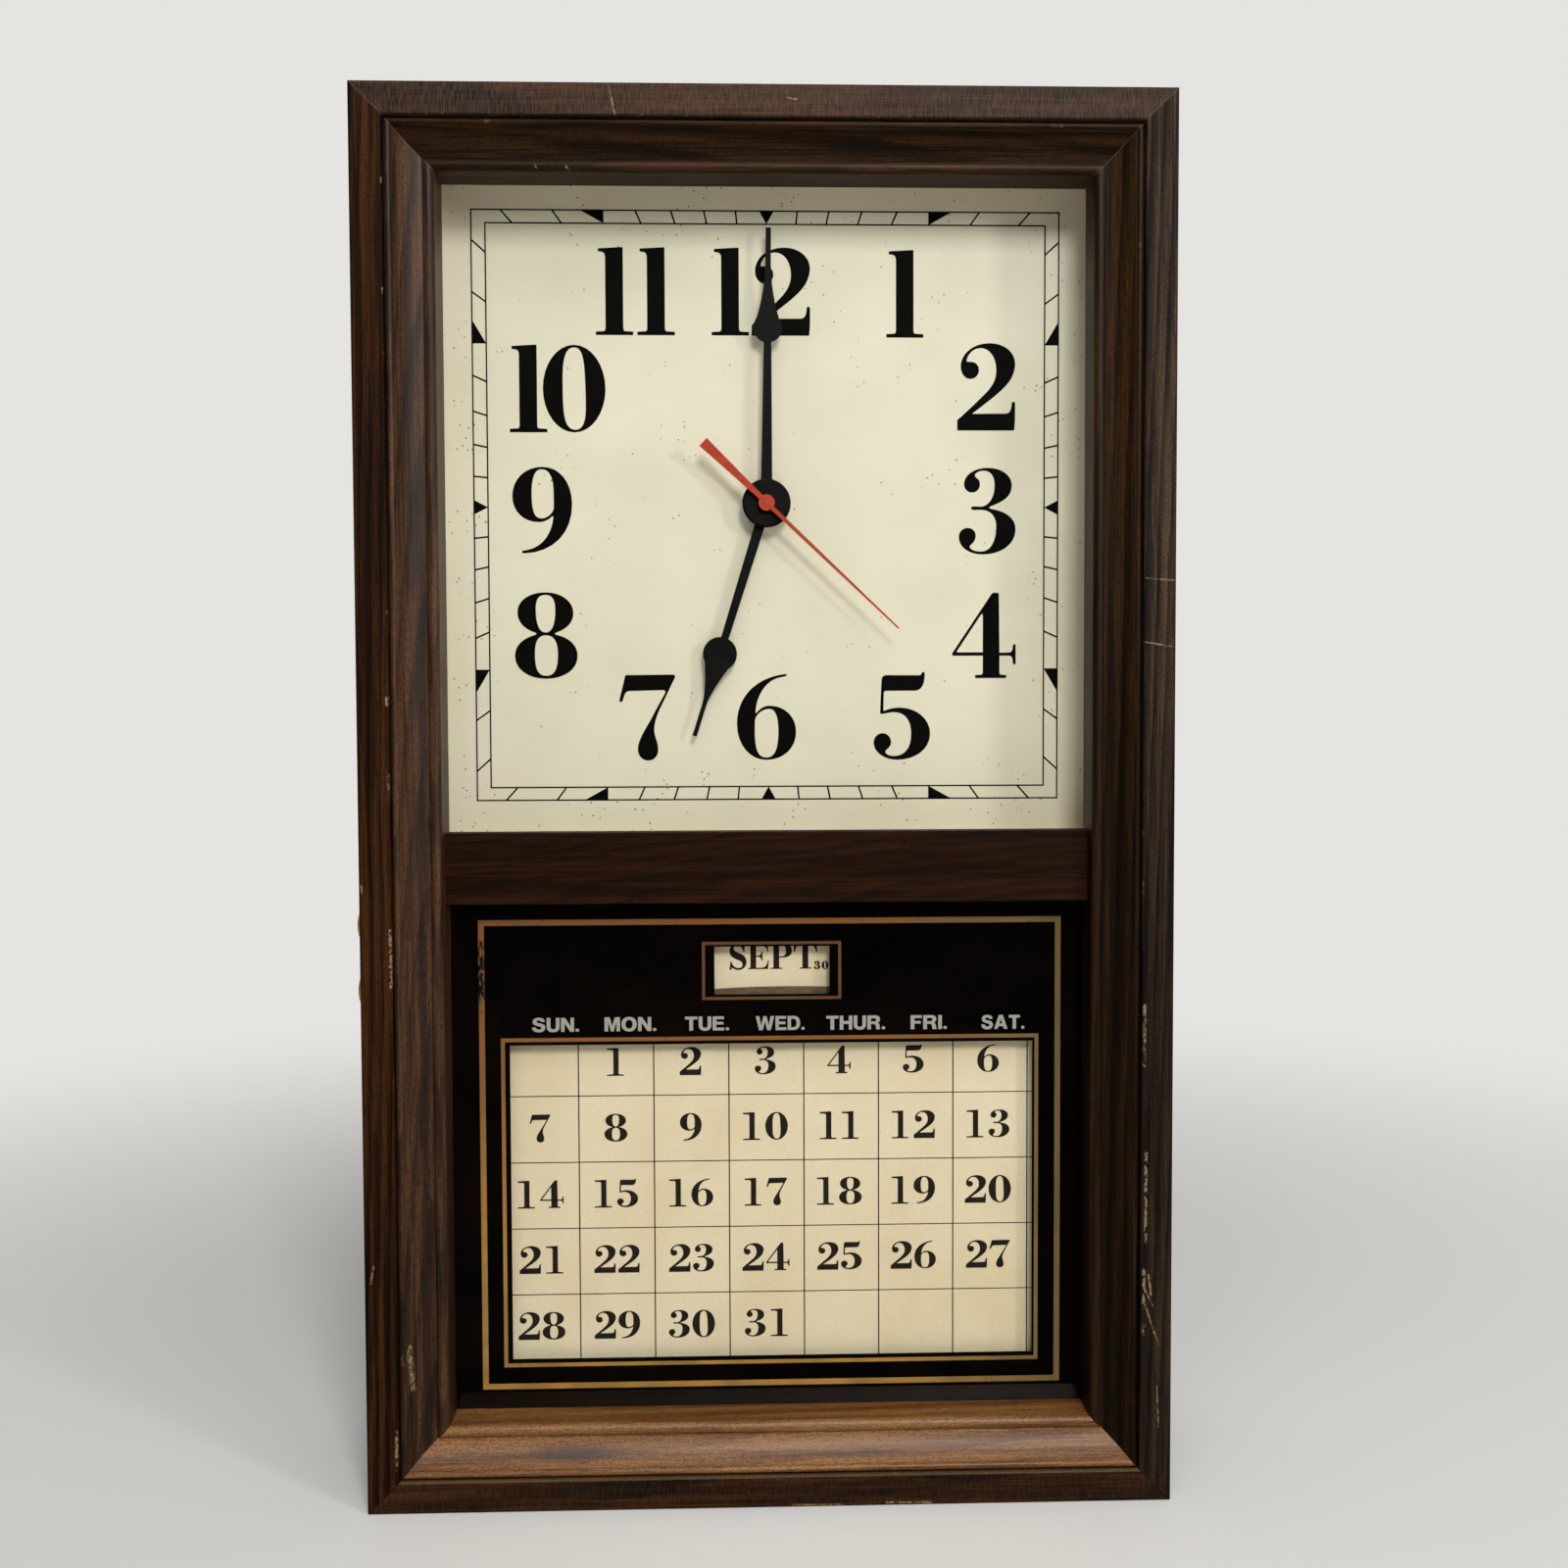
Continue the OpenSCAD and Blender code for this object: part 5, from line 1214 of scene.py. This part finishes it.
# Word, left edge, right edge and foot in millimetres
DAYS = [
    ("SUN.", -96.9, -77.7, 186.4), ("MON.", -67.3, -46.1, 186.4), ("TUE.", -34.4, -16.3, 186.4),
    ("WED.", -5.4, 14.7, 186.3), ("THUR.", 23.6, 47.9, 186.2), ("FRI.", 58.4, 73.4, 186.1),
    ("SAT.", 87.6, 105.5, 185.9),
]
DAY_NAME_HIGH, DAY_NAME_SPACE = 5.8, 9.0
days = new_print("glass_day_names")
for word, left, right, foot in DAYS:
    write(days, LETTERS, word, left, right, foot, DAY_NAME_HIGH, DAY_NAME_SPACE)
press(days, COAT_FRONT, DAY_INK)

# %% [markdown]
# The month and its days
#
# The calendar's paper is ruled in even squares, so one small tree rules it: a bar set
# again and again at an even pitch. It is used twice, upright and level. The days stand
# near the foot of their squares, in the order of the weekdays above them.

# %% Ruled lines with Geometry Nodes
def build_rule_tree(finish):
    """Bars of one size, set again and again at an even pitch."""
    tree, given = new_shape_tree("ruled_lines", [
        ("Lines", "Int"), ("First", "Vector"), ("Pitch", "Vector"), ("Bar", "Vector")])
    points = node(tree, "GeometryNodeMeshLine", {
        "Count": given["Lines"], "Start Location": given["First"], "Offset": given["Pitch"]})
    bar = node(tree, "GeometryNodeMeshCube", {"Size": given["Bar"]})
    bars = node(tree, "GeometryNodeInstanceOnPoints", {"Points": points, "Instance": bar})
    return end_shape_tree(tree, bars, finish)


PAPER_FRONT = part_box("date_sheet")[0][1]
# The squares' pitch, the first line each way and the edges of what is ruled, in millimetres
COLUMN, ROW = 30.98, 27.6
FIRST_UPRIGHT, FIRST_LEVEL = -78.5, 76.1
SHEET_LOW, SHEET_HIGH = 46.0, 184.0
SHEET_LEFT, SHEET_RIGHT = -109.0, 109.9
UPRIGHT_LINE, LEVEL_LINE = 0.5, 0.38
RULES = build_rule_tree(CALENDAR_INK)
grow(RULES, {
    "Lines": 7, "First": (FIRST_UPRIGHT * MM, (SHEET_LOW + SHEET_HIGH) / 2 * MM, 0.0),
    "Pitch": (COLUMN * MM, 0.0, 0.0),
    "Bar": (UPRIGHT_LINE * MM, (SHEET_HIGH - SHEET_LOW) * MM, INK_T)},
    "date_upright_rules", PAPER_FRONT, CALENDAR_INK)
# The level lines stand a hundredth of a millimetre higher, so no two faces share a place
grow(RULES, {
    "Lines": 4, "First": ((SHEET_LEFT + SHEET_RIGHT) / 2 * MM, FIRST_LEVEL * MM, 0.0),
    "Pitch": (0.0, ROW * MM, 0.0),
    "Bar": ((SHEET_RIGHT - SHEET_LEFT) * MM, LEVEL_LINE * MM, INK_T)},
    "date_level_rules", PAPER_FRONT - 0.01 * MM, CALENDAR_INK)

# %% Days of the month
# The calendar's one is wider than the dial's, with a long foot
WIDE_ONE = ("M 0 0 L 60 0 L 60 3.5 L 46 4.5 C 42 5 41 6.5 41 10 L 41 100 L 37 100 L 0 98 L 0 94 "
            "L 17 93 C 21 92.5 23 91 23 87 L 23 10 C 23 6.5 22 5 18 4.5 L 0 3.5 Z")
COLUMN_MIDDLES = [-94.5, -63.3, -32.4, -1.5, 29.1, 59.9, 91.1]
ROW_FEET = [167.2, 139.8, 112.3, 84.9, 57.2]
DAY_HIGH, DAY_WIDER = 11.5, 1.12
DAY_APART, DAY_APART_AT_ONE = 1.2, 2.3
FIRST_COLUMN = 1
# Print spreads a little on paper, so its outlines are widened
INK_SPREAD = 0.07 * MM
numbers = new_print("date_numbers")
numbers.offset = INK_SPREAD
for day in range(1, 32):
    row, column = divmod(day - 1 + FIRST_COLUMN, 7)
    shapes = [WIDE_ONE if figure == "1" else FIGURES[figure] for figure in str(day)]
    units = [DAY_HIGH / UNITS * (1.0 if shape is WIDE_ONE else DAY_WIDER) for shape in shapes]
    widths = [(reach_of(shape)[1] - reach_of(shape)[0]) * unit for shape, unit in zip(shapes, units)]
    apart = DAY_APART_AT_ONE if "1" in str(day) else DAY_APART
    left = COLUMN_MIDDLES[column] - (sum(widths) + apart * (len(widths) - 1)) / 2
    for shape, unit, width in zip(shapes, units, widths):
        draw_at(numbers, shape, left, ROW_FEET[row], unit, DAY_HIGH / UNITS)
        left += width + apart
press(numbers, PAPER_FRONT, CALENDAR_INK)

# %% The month's short name and its last day
MONTH_LETTERS = {
    "S": "M 3 -3 L 7 30 L 10 30 C 14 14 24 4 38 4 C 50 4 55 10 55 19 C 55 29 48 33 34 39 "
         "C 14 47 3 55 3 72 C 3 90 16 103 34 103 C 44 103 50 99 55 94 L 60 102 L 63 102 L 62 70 L 59 70 "
         "C 55 86 46 97 34 97 C 24 97 19 91 19 84 C 19 75 26 71 40 65 C 60 57 70 47 70 29 "
         "C 70 10 56 -3 38 -3 C 28 -3 20 1 13 7 L 7 -3 Z",
    "E": "M 0 0 L 0 3.5 L 8 4 C 10 4.3 10.5 5 10.5 8 L 10.5 92 C 10.5 95 10 95.7 8 96 L 0 96.5 L 0 100 "
         "L 82 100 L 84 70 L 81 70 C 78 88 70 96 52 96 L 33 96 L 33 53 L 38 53 C 50 53 55 58 57 70 "
         "L 60 70 L 60 34 L 57 34 C 55 46 50 49.5 38 49.5 L 33 49.5 L 33 4 L 54 4 "
         "C 72 4 80 14 83 34 L 86 34 L 83 0 Z",
    "P": "M 0 0 L 0 3.5 L 9 4 C 11.5 4.3 12 5 12 8 L 12 92 C 12 95 11.5 95.7 9 96 L 0 96.5 L 0 100 "
         "L 50 100 C 74 100 88 90 88 73 C 88 56 74 46 50 46 L 35 46 L 35 8 C 35 5 35.5 4.3 38 4 "
         "L 48 3.5 L 48 0 Z M 35 50 L 46 50 C 58 50 64 58 64 73 C 64 88 58 96 46 96 L 35 96 Z",
    "T": "M 24 0 L 24 3.5 L 33 4 C 36 4.3 36.5 5 36.5 8 L 36.5 96 L 30 96 C 14 96 8 88 4 68 L 0 68 "
         "L 2 100 L 94 100 L 96 68 L 92 68 C 88 88 82 96 66 96 L 59.5 96 L 59.5 8 "
         "C 59.5 5 60 4.3 63 4 L 72 3.5 L 72 0 Z",
}
# Letter or figure, left edge and right edge in millimetres
MONTH_NAME = [("S", -16.0, -9.1), ("E", -8.4, 0.1), ("P", 0.9, 9.7), ("T", 10.4, 20.1)]
LAST_DAY = [("3", 18.9, 21.3), ("0", 22.1, 24.7)]
MONTH_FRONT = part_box("month_strip")[0][1]
month = new_print("month_name")
month.offset = INK_SPREAD
for letter, left, right in MONTH_NAME:
    write(month, MONTH_LETTERS, letter, left, right, foot=211.0, high=10.2, space=0.0)
press(month, MONTH_FRONT, CALENDAR_INK)

# The small figures are cut bolder than the large ones, so their outlines are widened twice
last_day = new_print("month_last_day")
last_day.offset = 2 * INK_SPREAD
for figure, left, right in LAST_DAY:
    write(last_day, FIGURES, figure, left, right, foot=210.8, high=3.2, space=0.0)
press(last_day, MONTH_FRONT, CALENDAR_INK)

# %% Painted shade where the month's paper turns
# Below its lower edge the paper rolls back from the glass into shade; that shade is painted here as a dark curved
# sliver on the paper's front
PAINTED_PAPER_SHADE = speckled("shaded_paper_edge", "#5d4f3a", "#7a6a50", (6.0, 6.0, 1.2), 0.85)
turn = new_print("month_paper_painted_shade")
draw(turn, "M -24.6 200.2 L 27.2 200.2 L 27.2 203.4 C 14 204.0 -10 203.9 -24.6 202.7 Z")
press(turn, MONTH_FRONT, PAINTED_PAPER_SHADE)

# %% [markdown]
# Floor, backdrop and lamps
#
# A photographer would stand the clock on a pale floor that runs out of sight, with a
# softbox in front and above, a wide one overhead and a small lamp far to the right, whose
# low light gives the hands a second, sharper shadow. The room behind the camera is kept
# dark to mirrors, so the black glass stays black, as it does in the photo.

# %% Floor
PALE, DIM = "#e6e4e1", "#241f1b"


def floor_finish():
    """A matt pale floor that fades into the backdrop, and is dark where mirrors see it in front."""
    made, tree, place = start_material("pale_floor")
    matte = node(tree, "ShaderNodeBsdfPrincipled", {"Base Color": linear("#eeece9"), "Roughness": 0.85})
    rays = node(tree, "ShaderNodeLightPath").outputs
    mirrored = node(tree, MATH, [rays["Is Glossy Ray"], rays["Is Transmission Ray"]], operation="MAXIMUM")
    x, y, z = node(tree, "ShaderNodeSeparateXYZ", [place]).outputs
    ahead = node(tree, RANGE, [y, 0.04, -0.05], **SMOOTH)
    unlit = overlap(tree, mirrored, ahead)
    tint = lay_coats(tree, linear(PALE), [(unlit, DIM)])
    glow = node(tree, "ShaderNodeEmission", {"Color": tint, "Strength": 1.0})
    far = node(tree, VECTOR_MATH, [place], operation="LENGTH")
    far = node(tree, RANGE, [far, 0.20, 1.10], **SMOOTH)
    seen = node(tree, MATH, [rays["Is Camera Ray"], mirrored], operation="MAXIMUM")
    faded = node(tree, MATH, [overlap(tree, far, seen), unlit], operation="MAXIMUM")
    mixed = node(tree, "ShaderNodeMixShader", [faded, matte, glow])
    node(tree, "ShaderNodeOutputMaterial", {"Surface": mixed})
    return made


floor_mesh = bpy.data.meshes.new("floor")
floor_shape = bmesh.new()
bmesh.ops.create_grid(floor_shape, x_segments=4, y_segments=4, size=12.0)
floor_shape.to_mesh(floor_mesh)
floor_shape.free()
floor = bpy.data.objects.new("floor", floor_mesh)
bpy.context.scene.collection.objects.link(floor)
floor_mesh.materials.append(floor_finish())
print("floor", len(floor_mesh.polygons), "faces")

# %% World
# How much light comes from all round, in linear red, green and blue
FILL_LIGHT = (0.22, 0.22, 0.217, 1.0)
world = bpy.data.worlds.new("studio")
bpy.context.scene.world = world
world.use_nodes = True
tree = world.node_tree
tree.nodes.clear()
rays = node(tree, "ShaderNodeLightPath").outputs
way = node(tree, "ShaderNodeTexCoord").outputs["Generated"]
x, y, z = node(tree, "ShaderNodeSeparateXYZ", [way]).outputs
behind = node(tree, RANGE, [y, -0.25, 0.35], **SMOOTH)
mirror = node(tree, MIX, [behind, linear(DIM), linear(PALE)], **COLOURS)
mirrored = node(tree, MATH, [rays["Is Glossy Ray"], rays["Is Transmission Ray"]], operation="MAXIMUM")
fill = node(tree, MIX, [mirrored, FILL_LIGHT, mirror], **COLOURS)
sky = lay_coats(tree, fill, [(rays["Is Camera Ray"], PALE)])
surface = node(tree, "ShaderNodeBackground", {"Color": sky, "Strength": 1.0})
node(tree, "ShaderNodeOutputWorld", {"Surface": surface})
print("backdrop", PALE, "and", DIM, "in mirrors")


# %% Lamps
def softbox(name, place, aim, wide, high, watts):
    """A soft lamp at a place, turned to a point."""
    lamp = bpy.data.lights.new(name, "AREA")
    lamp.shape = "RECTANGLE"
    lamp.size, lamp.size_y, lamp.energy = wide, high, watts
    made = bpy.data.objects.new(name, lamp)
    bpy.context.scene.collection.objects.link(made)
    made.location = place
    made.rotation_euler = (Vector(aim) - Vector(place)).to_track_quat("-Z", "Y").to_euler()


MIDDLE = (0.0, 0.0, 0.30)
softbox("front_softbox", (0.35, -1.80, 1.42), MIDDLE, 0.5, 0.5, 24.5)
softbox("overhead_softbox", (0.1, -0.9, 1.75), MIDDLE, 1.4, 0.8, 8.5)
softbox("small_lamp", (1.40, -1.30, 0.82), MIDDLE, 0.22, 0.22, 8.0)
bpy.context.scene.view_settings.view_transform = "Standard"
print("three lamps")
